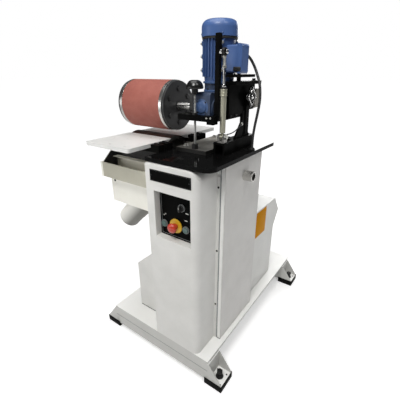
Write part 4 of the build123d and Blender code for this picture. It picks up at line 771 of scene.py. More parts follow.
    def plate(self, outline: Profile, x0: float, x1: float) -> "Piece":
        """Adds a flat plate across X.

        Args:
            outline: the places of its corners in Y and Z.
            x0: where the plate starts.
            x1: where it ends.

        Returns:
            The piece itself.
        """
        form = bmesh.new()
        face = form.faces.new([form.verts.new((x0, y, z)) for y, z in outline])
        grown = bmesh.ops.extrude_face_region(form, geom=[face])["geom"]
        far = [part for part in grown if isinstance(part, bmesh.types.BMVert)]
        bmesh.ops.translate(form, vec=(x1 - x0, 0.0, 0.0), verts=far)
        return self._take(form)

    def tube(self, line: Sequence[Vector], radius: float, sides: int = 20) -> "Piece":
        """Sweeps a round section along a line.

        Args:
            line: the points that its middle follows.
            radius: half its thickness.
            sides: how many facets go round.

        Returns:
            The piece itself.
        """
        form = bmesh.new()
        rows: list[list[bmesh.types.BMVert]] = []
        across = Vector(BACK)
        for index, point in enumerate(line):
            ahead = line[min(index + 1, len(line) - 1)] - line[max(index - 1, 0)]
            ahead.normalize()
            across = (across - ahead * across.dot(ahead)).normalized()
            other = ahead.cross(across)
            rows.append([form.verts.new(point + radius * (math.cos(math.tau * k / sides) * across
                                                          + math.sin(math.tau * k / sides) * other))
                         for k in range(sides)])
        for low, high in zip(rows, rows[1:]):
            for k in range(sides):
                form.faces.new((low[k], low[(k + 1) % sides], high[(k + 1) % sides], high[k]))
        form.faces.new(rows[0])
        form.faces.new(rows[-1])
        return self._take(form)

    def made(self, finish: Finish, smooth: float = SHARP_PIECE) -> bpy.types.Object:
        """Turns the piece into an object.

        Args:
            finish: what it is coated with.
            smooth: the angle in degrees from which an edge stays sharp.

        Returns:
            The new object.
        """
        data = bpy.data.meshes.new(self.name)
        self.mesh.to_mesh(data)
        self.mesh.free()
        data.shade_smooth()
        data.set_sharp_from_angle(angle=math.radians(smooth))
        data.materials.append(finish.material())
        made = bpy.data.objects.new(self.name, data)
        bpy.context.scene.collection.objects.link(made)
        return made


@dataclass
class Assembly:
    """What every sub-assembly can do: dress its solids and put its pieces on a body."""

    frame: dict

    def dress(self, finish: Finish, *nodes: str) -> None:
        """Gives a finish to solids that stay as they are.

        Args:
            finish: what they are coated with.
            nodes: the solids' names.
        """
        for name in nodes:
            data = self.frame["nodes"][name].data
            data.materials.clear()
            data.materials.append(finish.material())
            data.shade_smooth()
            data.set_sharp_from_angle(angle=math.radians(SHARP_SOLID))
            LOG.info("solid %s: %s", name, finish.name)

    def fit(self, piece: Piece, finish: Finish, body: str, slot: str, stands_for: Sequence[str] = (),
            smooth: float = SHARP_PIECE) -> bpy.types.Object:
        """Finishes a piece and lets it ride on a body.

        Args:
            piece: the piece to finish.
            finish: what it is coated with.
            body: the body that it moves with.
            slot: the record's material slot; not used.
            stands_for: the solids that it is shown for.
            smooth: the angle in degrees from which an edge stays sharp.

        Returns:
            The piece's object.
        """
        made = piece.made(finish, smooth)
        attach(made, body)
        if stands_for:
            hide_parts(*stands_for)
        LOG.info("piece %s on %s: %d faces", made.name, body, len(made.data.polygons))
        return made


@dataclass
class MotorCable(Assembly):
    """The cable that hangs from the terminal box to the table, with its two glands."""

    diameter: float = 0.010
    route: tuple[Point, ...] = (
        (0.214, -0.140, 1.310), (0.214, -0.130, 1.310), (0.216, -0.112, 1.307),
        (0.220, -0.096, 1.298), (0.227, -0.085, 1.282), (0.238, -0.082, 1.261),
        (0.252, -0.088, 1.236), (0.265, -0.096, 1.2121), (0.272, -0.101, 1.1838),
        (0.277, -0.109, 1.1500), (0.276, -0.118, 1.1101), (0.272, -0.125, 1.0700),
        (0.269, -0.129, 1.0341), (0.268, -0.130, 1.008), (0.268, -0.130, 0.978))
    box_face: Point = (214.0, -150.0, 1310.0)
    table_face: Point = (268.0, -130.0, 968.0)
    gland_play: float = 0.2

    @property
    def radius(self) -> float:
        """Half the cable's thickness, in millimetres."""
        return self.diameter * PER_METRE / 2

    def line(self) -> list[Vector]:
        """Reads the points of the smooth curve that has the route as its control points.

        Returns:
            The curve's points from the box to the table.
        """
        curve = bpy.data.curves.new("cable_line", "CURVE")
        curve.dimensions = "3D"
        curve.resolution_u = 10
        spline = curve.splines.new("NURBS")
        spline.points.add(len(self.route) - 1)
        for point, place in zip(spline.points, self.route):
            point.co = (*place, 1.0)
        spline.order_u = 3
        spline.use_endpoint_u = True
        holder = bpy.data.objects.new("cable_line", curve)
        bpy.context.scene.collection.objects.link(holder)
        bpy.context.view_layer.update()
        seen = holder.evaluated_get(bpy.context.evaluated_depsgraph_get())
        drawn = bpy.data.meshes.new_from_object(seen)
        points = [vertex.co.copy() for vertex in drawn.vertices]
        bpy.data.meshes.remove(drawn)
        bpy.data.objects.remove(holder)
        bpy.data.curves.remove(curve)
        return points

    def gland(self, name: str, at: Point, axis: Point) -> Piece:
        """Makes a gland: a hexagon foot and a domed nut, open for the cable.

        Args:
            name: what it is called.
            at: the face that it stands on.
            axis: the way that the cable leaves.

        Returns:
            The gland, not yet finished.
        """
        bore = self.radius + self.gland_play
        foot = ((bore, 0.0), (13.2, 0.0), (13.2, 4.8), (12.2, 5.8), (bore, 5.8))
        nut = ((bore, 5.8), (10.4, 5.8), (10.4, 7.6), (9.6, 9.4), (7.4, 10.8), (bore, 11.2))
        gland = Piece(name).turned(foot, at, axis, 6, ring=True)
        return gland.turned(nut, at, axis, 32, ring=True, lobes=12, depth=0.03)

    def build(self) -> None:
        """Sweeps the cable, and makes the glands at both its ends."""
        line = self.line()
        sheath = Piece("cable_sheath").tube([point * PER_METRE for point in line], self.radius)
        cable = sheath.made(CABLE_SKIN, smooth=60.0)
        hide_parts("motor_cable")
        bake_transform(cable)
        self.fit(self.gland("box_gland", self.box_face, BACK), PLASTIC, "swing_arm", "black_plastic")
        self.fit(self.gland("table_gland_nut", self.table_face, UP), PLASTIC, "frame",
                 "black_plastic", ("table_gland",))


@dataclass
class Plinth(Assembly):
    """Deck, beams and feet."""

    stud_x: float = 323.0
    stud_y: Span = (-414.0, 431.0)
    stud_low: float = 16.0
    stud_radius: float = 7.9
    stud_length: float = 46.0
    stud_pitch: float = 2.0
    washer_size: Point = (17.0, 8.2, 2.5)
    nut_across: float = 24.0
    nut_height: float = 11.0
    lock_nut_lift: float = 24.0
    lock_nut_height: float = 10.0
    plate_top: float = 28.0
    toe_x: float = 357.0
    pad_width: float = 85.0
    half_depth: float = 45.0
    shoe_low: float = 0.4
    shoe_top: float = 34.0
    shoe_wall: float = 2.0
    screw_head: Head = (3.6, 2.6)
    screw_offsets: tuple[Span, ...] = ((-24.0, 24.0), (22.0, 23.0), (24.0, -34.0))
    seam_x: float = 288.0
    seam_z: Span = (78.4, 81.0)

    def shoes(self) -> None:
        """Puts a rubber wall round each foot, and the screws that hold its plate."""
        walls = Piece("foot_shoes")
        screws = Piece("foot_plate_screws")
        low, high, wall = self.shoe_low, self.shoe_top, self.shoe_wall
        for side, y in product((-1.0, 1.0), self.stud_y):
            toe, heel = side * self.toe_x, side * (self.toe_x - self.pad_width)
            out = toe + side * wall
            x0, x1 = sorted((heel, out))
            front, back = y - self.half_depth, y + self.half_depth
            walls.block((min(toe, out), front - wall, low), (max(toe, out), back + wall, high), 0.8)
            walls.block((x0, front - wall, low), (x1, front - 0.1, high), 0.8)
            walls.block((x0, back + 0.1, low), (x1, back + wall, high), 0.8)
            for across, along in self.screw_offsets:
                at = (side * (self.stud_x + across), y + along, self.plate_top)
                screws.dome_screw(at, UP, *self.screw_head)
        self.fit(walls, PAD_RUBBER, "frame", "black_rubber")
        self.fit(screws, BLACK_OXIDE, "frame", "machined_steel")

    def seam(self) -> None:
        """Draws the dark seam across the front beam."""
        y = self.stud_y[0] - self.half_depth
        low, high = self.seam_z
        seam = Piece("beam_seam").block((-self.seam_x, y - 0.5, low), (self.seam_x, y + 0.4, high), 0.3)
        self.fit(seam, MOTOR_GREY, "frame", "black_rubber")

    def studs(self) -> None:
        """Makes the feet's studs with nuts and washers."""
        studs = Piece("foot_studs")
        top = self.plate_top
        for x, y in product((-self.stud_x, self.stud_x), self.stud_y):
            studs.thread((x, y, self.stud_low), UP, self.stud_radius, self.stud_length,
                         self.stud_pitch)
            studs.washer((x, y, top), UP, *self.washer_size)
            studs.hexagon((x, y, top + self.washer_size[2]), UP, self.nut_across, self.nut_height)
            studs.hexagon((x, y, top + self.lock_nut_lift), UP, self.nut_across,
                          self.lock_nut_height)
        self.fit(studs, BLACK_OXIDE, "frame", "machined_steel", ("foot_bolts",))

    def build(self) -> None:
        """Dresses the plinth, and fits what is on it."""
        # the plinth's sides carry painted shade and its top faces painted light
        self.dress(PLINTH_WHITE_LIT_TOP, "plinth_deck", "front_beam", "rear_beam", "foot_brackets")
        self.dress(PAD_RUBBER, "foot_pads")
        self.shoes()
        self.seam()
        self.studs()


@dataclass
class Column(Assembly):
    """Column panels, front cover, rear box and guard, with screws, plates, door and louvres."""

    flange_x: float = 241.0
    flange_y: float = -330.0
    flange_screws: tuple[float, ...] = (326.0, 596.0, 866.0)
    flange_head: Head = (4.2, 2.6)
    tube_at: Point = (268.0, -178.0, 877.0)
    plate_low: Point = (28.0, -460.5, 889.0)
    plate_high: Point = (214.0, -460.5, 932.0)
    border_inset: float = 2.5
    plate_screw_inset: float = 7.0
    plate_screw_head: Head = (2.0, 1.2)
    amber_low: Point = (236.8, 35.0, 468.0)
    amber_high: Point = (238.4, 160.0, 610.0)
    rivet_inset: float = 6.0
    rivet_head: Head = (2.2, 1.3)
    seal_runs: tuple[tuple[Span, float], ...] = (((248.0, 267.5), -327.0), ((-187.0, 0.0), -369.0))
    seal_z: Span = (133.1, 136.2)
    gasket_low: Point = (248.3, -328.6, 137.0)
    gasket_high: Point = (251.3, -326.6, 950.0)
    door_low: Point = (36.0, 284.6, 158.0)
    door_high: Point = (211.0, 287.2, 418.0)
    hinge_lifts: Span = (34.0, -87.0)
    hinge_head: Head = (3.2, 1.6)
    guard_x: float = -188.0
    guard_y: Span = (-310.0, -120.0)
    louvres: tuple[float, ...] = (182.0, 212.0, 242.0, 272.0, 302.0, 332.0)

    def cover_pieces(self) -> None:
        """Fits the cover's screws, the side tube's sleeve and the border of the blank plate."""
        screws = Piece("cover_screws")
        for z in self.flange_screws:
            screws.dome_screw((self.flange_x, self.flange_y, z), FRONT, *self.flange_head)
        self.fit(screws, BLACK_OXIDE, "frame", "machined_steel")
        section = ((14.8, 2.7), (14.8, 38.0), (15.3, 38.5), (20.0, 38.5), (20.5, 38.0), (20.5, 0.0),
                   (16.8, 0.0))
        sleeve = Piece("tube_sleeve").turned(section, self.tube_at, RIGHT, 48, ring=True)
        self.fit(sleeve, TUBE_STEEL, "frame", "machined_steel")
        (x0, y, z0), (x1, _, z1) = self.plate_low, self.plate_high
        inset = self.border_inset
        border = Piece("nameplate_border")
        border.border((x0 + inset, x1 - inset), (z0 + inset, z1 - inset), y, 1.0, 0.7)
        for x in (x0 + self.plate_screw_inset, x1 - self.plate_screw_inset):
            border.dome_screw((x, y, (z0 + z1) / 2), FRONT, *self.plate_screw_head)
        self.fit(border, PLASTIC, "frame", "black_plastic")

    def side_plate(self) -> None:
        """Fits the blank plate on the rear box's side, with its rivets."""
        (_, y0, z0), (x, y1, z1) = self.amber_low, self.amber_high
        inset = self.rivet_inset
        amber = Piece("side_plate_blank").block(self.amber_low, self.amber_high, 0.5)
        self.fit(amber, AMBER, "frame", "yellow_plastic")
        rivets = Piece("side_plate_rivets")
        for y, z in product((y0 + inset, y1 - inset), (z0 + inset, z1 - inset)):
            rivets.dome_screw((x, y, z), RIGHT, *self.rivet_head)
        self.fit(rivets, ZINC, "frame", "machined_steel")

    def seals(self) -> None:
        """Lays the seals along the deck and the gasket beside the cover."""
        seals = Piece("sheet_seals")
        low, high = self.seal_z
        for (x0, x1), y in self.seal_runs:
            seals.block((x0, y - 0.9, low), (x1, y + 0.3, high), 0.4)
        self.fit(seals, RUBBER, "frame", "black_rubber")
        gasket = Piece("cover_gasket").block(self.gasket_low, self.gasket_high, 0.5)
        self.fit(gasket, MOTOR_GREY, "frame", "black_rubber")

    def door(self) -> None:
        """Hangs a door with hinges and a lock on the back of the rear box."""
        (x0, y0, z0), (x1, y1, z1) = self.door_low, self.door_high
        leaf = Piece("rear_door").block(self.door_low, self.door_high, 1.2)
        leaf.block((x0 + 18.0, y1 - 0.5, z0 + 20.0), (x1 - 18.0, y1 + 1.2, z1 - 20.0), 1.1)
        self.fit(leaf, WHITE, "frame", "white_paint")
        hinges = Piece("door_hinges")
        knuckle = [(0.0, 0.0), (4.3, 0.0)]
        for foot in (0.0, 18.0, 36.0):
            knuckle += [(5.0, foot + 0.7), (5.0, foot + 16.3), (4.2, foot + 17.0)]
        knuckle.append((0.0, 53.0))
        for end, lift in zip((z0, z1), self.hinge_lifts):
            z = end + lift
            hinges.turned(knuckle, (x0 - 2.0, y1 + 2.0, z), UP, 24)
            hinges.block((x0 - 22.0, y0, z + 2.0), (x0 - 2.0, y0 + 2.4, z + 51.0), 0.6)
            for screw in (12.0, 41.0):
                hinges.dome_screw((x0 - 14.0, y0 + 2.4, z + screw), BACK, *self.hinge_head)
        self.fit(hinges, ZINC, "frame", "machined_steel")
        barrel = ((0.0, 0.0), (12.0, 0.0), (12.0, 2.6), (10.4, 4.2), (7.0, 4.6), (6.4, 3.2),
                  (0.0, 3.0))
        x, z = x1 - 10.0, (z0 + z1) / 2
        lock = Piece("door_lock").turned(barrel, (x, y1, z), BACK, 36)
        lock.block((x - 5.4, y1 + 2.6, z - 1.2), (x + 5.4, y1 + 4.4, z + 1.2), 0.5)
        self.fit(lock, PLASTIC, "frame", "black_plastic")

    def vents(self) -> None:
        """Presses louvres in the guard's left side, with dark strips under them as painted shade in
        their openings.
        """
        hoods, slot_shade = Piece("guard_louvres"), Piece("louvre_slot_shade")
        x, (y0, y1) = self.guard_x, self.guard_y
        for z in self.louvres:
            hoods.block((x - 4.0, y0, z), (x + 3.0, y1, z + 11.0), 3.3, 4)
            slot_shade.block((x - 0.5, y0 + 3.0, z - 4.0), (x + 0.5, y1 - 3.0, z + 1.0), 0.3)
        self.fit(hoods, WHITE, "frame", "white_paint", smooth=50.0)
        # the dark strips under the louvres are painted shade for their openings
        self.fit(slot_shade, RUBBER, "frame", "black_paint")

    def build(self) -> None:
        """Dresses the sheet metal, and fits what is on it."""
        self.dress(WHITE, "column_left", "column_back", "front_cover", "motor_guard")
        # the column's right side takes the darker white as painted shade
        self.dress(SHADED_SIDE_WHITE, "column_right")
        # the column's front strip takes the brighter white as painted light
        self.dress(LIT_FRONT_WHITE, "column_front")
        self.dress(REAR_WHITE, "rear_box")
        self.dress(PANEL, "nameplate")
        self.dress(PLASTIC, "switchgear")
        self.dress(MOTOR_GREY, "main_motor", "motor_pulley")
        self.dress(RUBBER, "drive_belt")
        self.cover_pieces()
        self.side_plate()
        self.seals()
        self.door()
        self.vents()


@dataclass
class Controls(Assembly):
    """What is in the control recess."""

    panel_y: float = -429.0
    panel_x: Span = (41.0, 209.0)
    panel_z: Span = (660.0, 851.0)
    line_inset: float = 6.5
    screw_inset: float = 4.0
    screw_head: Head = (2.4, 1.8)
    estop_at: Span = (118.0, 714.0)
    buttons: tuple[tuple[str, float], ...] = (("left", 62.0), ("right", 166.0))
    button_z: float = 711.0
    selector_at: Span = (148.0, 796.0)
    marks: tuple[tuple[float, float, float, float], ...] = (
        (171.3, 778.7, 13.0, 4.0), (166.0, 748.7, 13.0, 4.0), (59.8, 746.0, 5.0, 5.0),
        (67.6, 751.4, 5.0, 5.0))

    def caps(self) -> None:
        """Makes the mushroom head and the two button caps."""
        behind = self.panel_y + 1.0
        x, z = self.estop_at
        mushroom = ((0.0, 0.0), (10.0, 0.0), (10.0, 8.4), (13.0, 8.4), (13.0, 9.4), (12.2, 14.0),
                    (12.6, 21.6), (17.6, 22.2), (19.6, 23.6), (20.0, 26.0), (19.6, 28.6),
                    (18.0, 31.8), (15.0, 34.4), (10.4, 36.4), (5.0, 37.3), (0.0, 37.4))
        head = Piece("estop_mushroom").turned(mushroom, (x, behind, z), FRONT, 56)
        self.fit(head, RED, "estop", "red_plastic", ("estop_button",), smooth=40.0)
        section = ((0.0, 0.0), (9.5, 0.0), (9.5, 4.4), (11.5, 4.4), (11.5, 8.4), (10.9, 9.6),
                   (9.6, 10.0), (8.8, 9.6), (5.0, 9.0), (0.0, 8.8))
        for side, x in self.buttons:
            cap = Piece(side + "_button_cap").turned(section, (x, behind, self.button_z), FRONT, 48)
            self.fit(cap, GREEN, side + "_button", "green_plastic", (side + "_button",))

    def selector(self) -> None:
        """Makes the selector's disc and grip, and the pale line on the grip."""
        x, z = self.selector_at
        y = self.panel_y - 0.4
        disc = ((0.0, 0.0), (12.0, 0.0), (12.0, 6.4), (10.6, 8.0), (0.0, 8.0))
        grip = Piece("selector_grip").turned(disc, (x, y, z), FRONT, 48)
        grip.block((x - 4.0, y - 20.0, z - 11.0), (x + 4.0, y - 7.0, z + 11.0), 2.4, 4)
        self.fit(grip, PLASTIC, "selector", "black_plastic", ("selector_knob",), smooth=45.0)
        line = Piece("selector_line")
        line.block((x - 0.8, y - 20.3, z + 1.0), (x + 0.8, y - 19.6, z + 9.5), 0.25)
        self.fit(line, MARK, "selector", "bezel_plastic")

    def markings(self) -> None:
        """Puts the border line, the blank marks and the corner screws on the panel."""
        (x0, x1), (z0, z1), y = self.panel_x, self.panel_z, self.panel_y
        inset = self.line_inset
        line = Piece("panel_line")
        line.border((x0 + inset, x1 - inset), (z0 + inset, z1 - inset), y, 2.0, 0.6)
        self.fit(line, BEZEL, "frame", "bezel_plastic")
        marks = Piece("panel_marks")
        for x, z, wide, high in self.marks:
            marks.block((x - wide / 2, y - 0.6, z - high / 2),
                        (x + wide / 2, y + 0.2, z + high / 2), 0.25)
        self.fit(marks, MARK, "frame", "bezel_plastic")
        screws = Piece("panel_screws")
        inset = self.screw_inset
        for x, z in product((x0 + inset, x1 - inset), (z0 + inset, z1 - inset)):
            screws.cap_screw((x, y, z), FRONT, *self.screw_head)
        self.fit(screws, BLACK_OXIDE, "frame", "machined_steel")

    def build(self) -> None:
        """Dresses the panel, and fits its controls."""
        self.dress(PANEL, "control_panel")
        self.dress(BEZEL, "control_bezels")
        self.dress(YELLOW, "estop_collar")
        self.caps()
        self.selector()
        self.markings()


@dataclass
class Tables(Assembly):
    """Black work table, white tables and the roller's housing."""

    bracket_top: float = 997.0
    bracket_x: Span = (-27.0, -9.0)
    bracket_y: tuple[float, ...] = (-365.0, -319.5, -130.5, -85.0)
    bracket_head: Head = (4.6, 4.0)
    trough_bolts: tuple[Point, ...] = ((-255.0, -394.0, 812.0), (-50.0, -394.0, 803.0))
    trough_head: Head = (5.4, 3.6)
    spigot_at: Point = (-150.0, -335.0, 712.0)
    spigot_way: Point = (-1.0, 0.0, -1.0)
    spigot_reach: float = 142.0
    plate_top: float = 983.0
    plate_bolts: tuple[Span, ...] = ((46.0, -270.0), (46.0, -60.0), (148.0, -60.0))
    plate_bolt_head: Head = (13.0, 8.0, 11.0)
    shade_sheet_x: Span = (-277.2, -276.2)
    shade_sheet: Profile = ((-62.0, 716.0), (-62.0, 944.0), (-376.5, 944.0), (-427.0, 899.0),
                      (-427.0, 839.0), (-391.0, 826.0), (-391.0, 716.0))
    lip_x: Span = (-280.0, -0.4)
    lip: Profile = ((-429.9, 836.4), (-431.3, 836.4), (-431.3, 898.4), (-430.7, 899.7),
                    (-429.4, 900.2), (-426.4, 900.2), (-426.4, 899.2), (-429.9, 899.2))
    seal_x: Span = (-276.0, -7.0)
    seal_y: float = -346.5
    seal_z: Span = (906.0, 979.0)
    clamp_depth: float = 2.4
    clamp_screws: int = 6
    clamp_head: Head = (3.2, 1.8)

    def fasteners(self) -> None:
        """Fits the screws of the bars and the trough, and the bolts of the base plate."""
        screws = Piece("bracket_screws")
        for y, x in product(self.bracket_y, self.bracket_x):
            screws.cap_screw((x, y, self.bracket_top), UP, *self.bracket_head)
        for at in self.trough_bolts:
            screws.dome_screw(at, FRONT, *self.trough_head)
        self.fit(screws, BLACK_OXIDE, "frame", "machined_steel")
        bolts = Piece("plate_bolts")
        for x, y in self.plate_bolts:
            bolts.bolt((x, y, self.plate_top), UP, *self.plate_bolt_head)
        self.fit(bolts, ZINC, "frame", "machined_steel")

    def spigot(self) -> None:
        """Puts the bead on the spigot's mouth."""
        way = Vector(self.spigot_way).normalized()
        rim = ((46.8, -3.0), (50.1, -3.0), (50.4, -1.6), (50.2, 0.2), (48.5, 0.8), (46.8, 0.2))
        end = tuple(Vector(self.spigot_at) + way * self.spigot_reach)
        bead = Piece("spigot_rim").turned(rim, end, tuple(way), 72, ring=True)
        # the bead takes the spigot's painted light and shade
        self.fit(bead, SPIGOT_LIGHT_AND_SHADE, "frame", "white_paint", smooth=50.0)

    def seals(self) -> None:
        """Puts a black sheet on the inside of the housing's left wall as painted shade, and clamps a
        rubber strip on the deflector.
        """
        # painted shade: a black rubber sheet on the inside of the left wall stands for the shade there
        shade_sheet = Piece("cheek_shade_sheet").plate(self.shade_sheet, *self.shade_sheet_x)
        self.fit(shade_sheet, RUBBER, "frame", "black_rubber")
        (x0, x1), y, (low, high) = self.seal_x, self.seal_y, self.seal_z
        strip = Piece("dust_strip").block((x0, y, low), (x1, y + 2.0, high), 0.6)
        strip.block((x0 + 6.0, y - self.clamp_depth, low), (x1 - 6.0, y, low + 9.0), 0.7)
        for index in range(self.clamp_screws):
            x = x0 + 20.0 + index * (x1 - x0 - 40.0) / (self.clamp_screws - 1)
            strip.dome_screw((x, y - self.clamp_depth, low + 4.5), FRONT, *self.clamp_head)
        self.fit(strip, RUBBER, "frame", "black_rubber")

    def build(self) -> None:
        """Dresses the tables and the housing, and fits what is on them."""
        self.dress(TABLE_BLACK, "work_table")
        self.dress(BLACK, "table_brackets")
        self.dress(TABLE_WHITE, "infeed_table", "outfeed_table")
        self.dress(HOUSING, "roller_housing")
        # the spigot's tone is painted light and shade
        self.dress(SPIGOT_LIGHT_AND_SHADE, "dust_spigot")
        self.dress(CREAM, "dust_panel")
        self.dress(ABRASIVE, "roller_sleeve")
        self.dress(ALLOY, "roller_core")
        # the base plate's top carries its own grey with painted light, fading to painted shade at the
        # front
        self.dress(GROUND_AND_SHADE, "base_plate")
        self.dress(IRON, "spindle_housing")
        # the lip carries the darker cream as painted shade
        self.fit(Piece("trough_lip").plate(self.lip, *self.lip_x), LIP_SHADE, "frame", "white_paint")
        self.fasteners()
        self.spigot()
        self.seals()


@dataclass
class FeedDrum(Assembly):
    """The covered drum above the tables."""

    axis_at: Span = (-225.0, 1127.0)
    radius: float = 97.5
    cover_x: Span = (-246.0, -42.0)
    disc_x: Span = (-269.0, -19.0)
    bolt_circle: float = 64.0
    bolts: int = 6
    washer_size: Point = (11.0, 7.0, 1.4)
    seam_turn: float = 205.0

    def covering(self) -> None:
        """Wraps the drum: a sleeve with rounded edges, joined by a lapped seam."""
        y, z = self.axis_at
        x0, x1 = self.cover_x
        run, top = x1 - x0, self.radius
        section = ((top - 7.8, 0.0), (top - 1.6, 0.0), (top - 0.5, 0.4), (top, 1.5),
                   (top, run - 1.5), (top - 0.5, run - 0.4), (top - 1.6, run), (top - 7.8, run))
        wrap = Piece("drum_wrap").turned(section, (x0, y, z), RIGHT, 144, ring=True)
        turn = Matrix.Rotation(math.radians(self.seam_turn), 4, "X")
        seam = Matrix.Translation(((x0 + x1) / 2, y, z)) @ turn
        wrap.block((-run / 2 + 0.5, -5.0, top - 1.5), (run / 2 - 0.5, 5.0, top + 0.5), 0.5, 2, seam)
        self.fit(wrap, RED_COVER, "feed_drum", "feed_covering", ("drum_cover",), smooth=40.0)

    def ends(self) -> None:
        """Puts washers under the bolts, a ring round the shaft and a cap on its free end."""
        y, z = self.axis_at
        left, right = self.disc_x
        washers = Piece("drum_washers")
        angles = [math.tau * (index + 0.5) / self.bolts for index in range(self.bolts)]
        for x, axis in ((left, LEFT), (right, RIGHT)):
            for at in around((x, y, z), self.bolt_circle, axis, angles):
                washers.washer(at, axis, *self.washer_size)
        self.fit(washers, BLACK_OXIDE, "feed_drum", "machined_steel")
        collar = ((15.1, 0.0), (19.5, 0.0), (19.5, 1.6), (18.7, 2.4), (15.1, 2.4))
        hub = Piece("drum_hub_rings").turned(collar, (right, y, z), RIGHT, 48, ring=True)
        cap = ((0.0, 0.0), (23.0, 0.0), (23.0, 2.5), (21.5, 4.5), (8.0, 6.0), (7.0, 4.8), (0.0, 4.6))
        hub.turned(cap, (left, y, z), LEFT, 48)
        self.fit(hub, BLACK_OXIDE, "feed_drum", "machined_steel")

    def build(self) -> None:
        """Dresses the drum, and fits its covering and end pieces."""
        self.dress(STEEL_X, "drum_core")
        self.dress(SHAFT_STEEL, "drum_shaft")
        self.dress(DISC_BLACK, "drum_discs")
        self.covering()
        self.ends()


@dataclass
class Strut(Assembly):
    """The strut beside the arm: tube, rod with its ball eye, pin, foot and lever."""

    axis_at: Span = (211.0, -264.0)
    tube_top: float = 1198.0
    band_lifts: tuple[float, ...] = (-22.5, -13.0, -3.6)
    rod_depth: float = 145.0
    shank_low: float = 1263.0
    shank_lift: float = 8.0
    shank_nut: Head = (14.0, 9.0)
    thread_size: Point = (5.5, 30.0, 1.5)
    socket_drop: float = 19.0
    eye_z: float = 1312.0
    eye_half: float = 6.0
    ball_radius: float = 8.6
    ball_lifts: tuple[float, ...] = (-5.0, -2.5, 0.0, 2.5, 5.0)
    pin_x: Span = (195.2, 220.4)
    pin_head: Head = (7.6, 4.0)
    foot_z: float = 1036.0
    foot_x: Span = (197.6, 224.4)
    foot_heads: tuple[Head, Head] = ((16.0, 5.0, 9.6), (16.0, 7.0, 9.6))
    fork_bolt: Point = (216.3, -131.0, 1064.0)
    fork_head: Head = (10.0, 5.0, 7.0)
    lever_start: Point = (226.5, 4.0, 8.0)  # in Y and Z from the foot's pin
    lever_end: Point = (219.0, -131.0, 1066.0)
    lever_sag: float = 9.0
    lever_steps: int = 16
    lever_radius: float = 2.3

    def rod(self) -> None:
        """Makes the rod with its shank, nut and ball eye."""
        x, y = self.axis_at
        section = ((0.0, 0.0), (3.6, 0.0), (4.0, 0.6), (4.0, 146.0), (0.0, 146.0))
        bar = Piece("strut_bar").turned(section, (x, y, self.shank_low - self.rod_depth), UP, 24)
        self.fit(bar, CHROME, "strut_rod", "bright_rod", ("strut_rod",))
        shank = Piece("strut_shank")
        shank.thread((x, y, self.shank_low + self.shank_lift), UP, *self.thread_size)
        shank.hexagon((x, y, self.shank_low), UP, *self.shank_nut)
        socket = ((0.0, 0.0), (5.6, 0.0), (6.4, 3.0), (6.4, 8.0), (0.0, 8.0))
        shank.turned(socket, (x, y, self.eye_z - self.socket_drop), UP, 24)
        self.fit(shank, ZINC, "strut_rod", "bright_rod")
        at = (x - self.eye_half, y, self.eye_z)
        ring = ((7.6, 0.4), (11.6, 0.0), (13.0, 1.4), (13.0, 10.6), (11.6, 12.0), (7.6, 11.6))
        eye = Piece("strut_eye_ring").turned(ring, at, RIGHT, 40, ring=True)
        self.fit(eye, BLACK_OXIDE, "strut_rod", "bright_rod")
        curve = [(math.sqrt(max(self.ball_radius ** 2 - lift ** 2, 0.0)) - 1.1, self.eye_half + lift)
                 for lift in self.ball_lifts]
        ball = Piece("strut_ball").turned([(5.4, 0.4), *curve, (5.4, 11.6)], at, RIGHT, 32, ring=True)
        self.fit(ball, CHROME, "strut_rod", "bright_rod")

    def pin(self) -> None:
        """Puts the spacer and the head on the pin in the arm."""
        _, y = self.axis_at
        inner, outer = self.pin_x
        spacer = ((5.2, 0.0), (9.0, 0.0), (9.0, 8.6), (8.4, 9.2), (5.2, 9.2))
        pin = Piece("strut_pin_cap").turned(spacer, (inner, y, self.eye_z), RIGHT, 32, ring=True)
        pin.dome_screw((outer, y, self.eye_z), RIGHT, *self.pin_head)
        self.fit(pin, CHROME, "swing_arm", "machined_steel")

    def tube(self) -> None:
        """Puts the seal, the guide and the bands on the tube's upper end."""
        x, y = self.axis_at
        top = (x, y, self.tube_top)
        section = ((4.3, 0.0), (10.6, 0.0), (10.6, 4.4), (9.4, 5.4), (4.3, 5.4))
        seal = Piece("strut_seal").turned(section, top, UP, 32, ring=True)
        self.fit(seal, BLACK_OXIDE, "strut_tube", "machined_steel")
        section = ((4.3, 5.4), (6.4, 5.4), (7.2, 8.0), (7.2, 11.0), (6.2, 13.6), (4.3, 14.6))
        guide = Piece("strut_guide").turned(section, top, UP, 32, ring=True)
        self.fit(guide, CHROME, "strut_tube", "machined_steel")
        band = ((11.5, 0.0), (12.6, 0.3), (13.1, 1.4), (13.1, 2.4), (12.6, 3.5), (11.5, 3.8))
        bands = Piece("strut_bands")
        for lift in self.band_lifts:
            bands.turned(band, (x, y, self.tube_top + lift), UP, 40, ring=True)
        self.fit(bands, STRUT, "strut_tube", "strut_paint", smooth=50.0)

    def foot(self) -> None:
        """Puts the nuts on the foot's pin, and the thin lever that leads to the fork."""
        _, y = self.axis_at
        (left, right), (head, nut) = self.foot_x, self.foot_heads
        nuts = Piece("strut_foot_nuts").bolt((right, y, self.foot_z), RIGHT, *nut)
        nuts.bolt((left, y, self.foot_z), LEFT, *head)
        nuts.bolt(self.fork_bolt, RIGHT, *self.fork_head)
        self.fit(nuts, ZINC, "frame", "machined_steel")
        x, behind, above = self.lever_start
        start, end = Vector((x, y + behind, self.foot_z + above)), Vector(self.lever_end)
        line = []
        for step in range(self.lever_steps + 1):
            share = step / self.lever_steps
            sag = self.lever_sag * math.sin(math.pi * share)
            line.append(start.lerp(end, share) - Vector((0.0, 0.0, sag)))
        lever = Piece("strut_lever").tube(line, self.lever_radius, 14)
        self.fit(lever, IRON, "frame", "machined_steel")

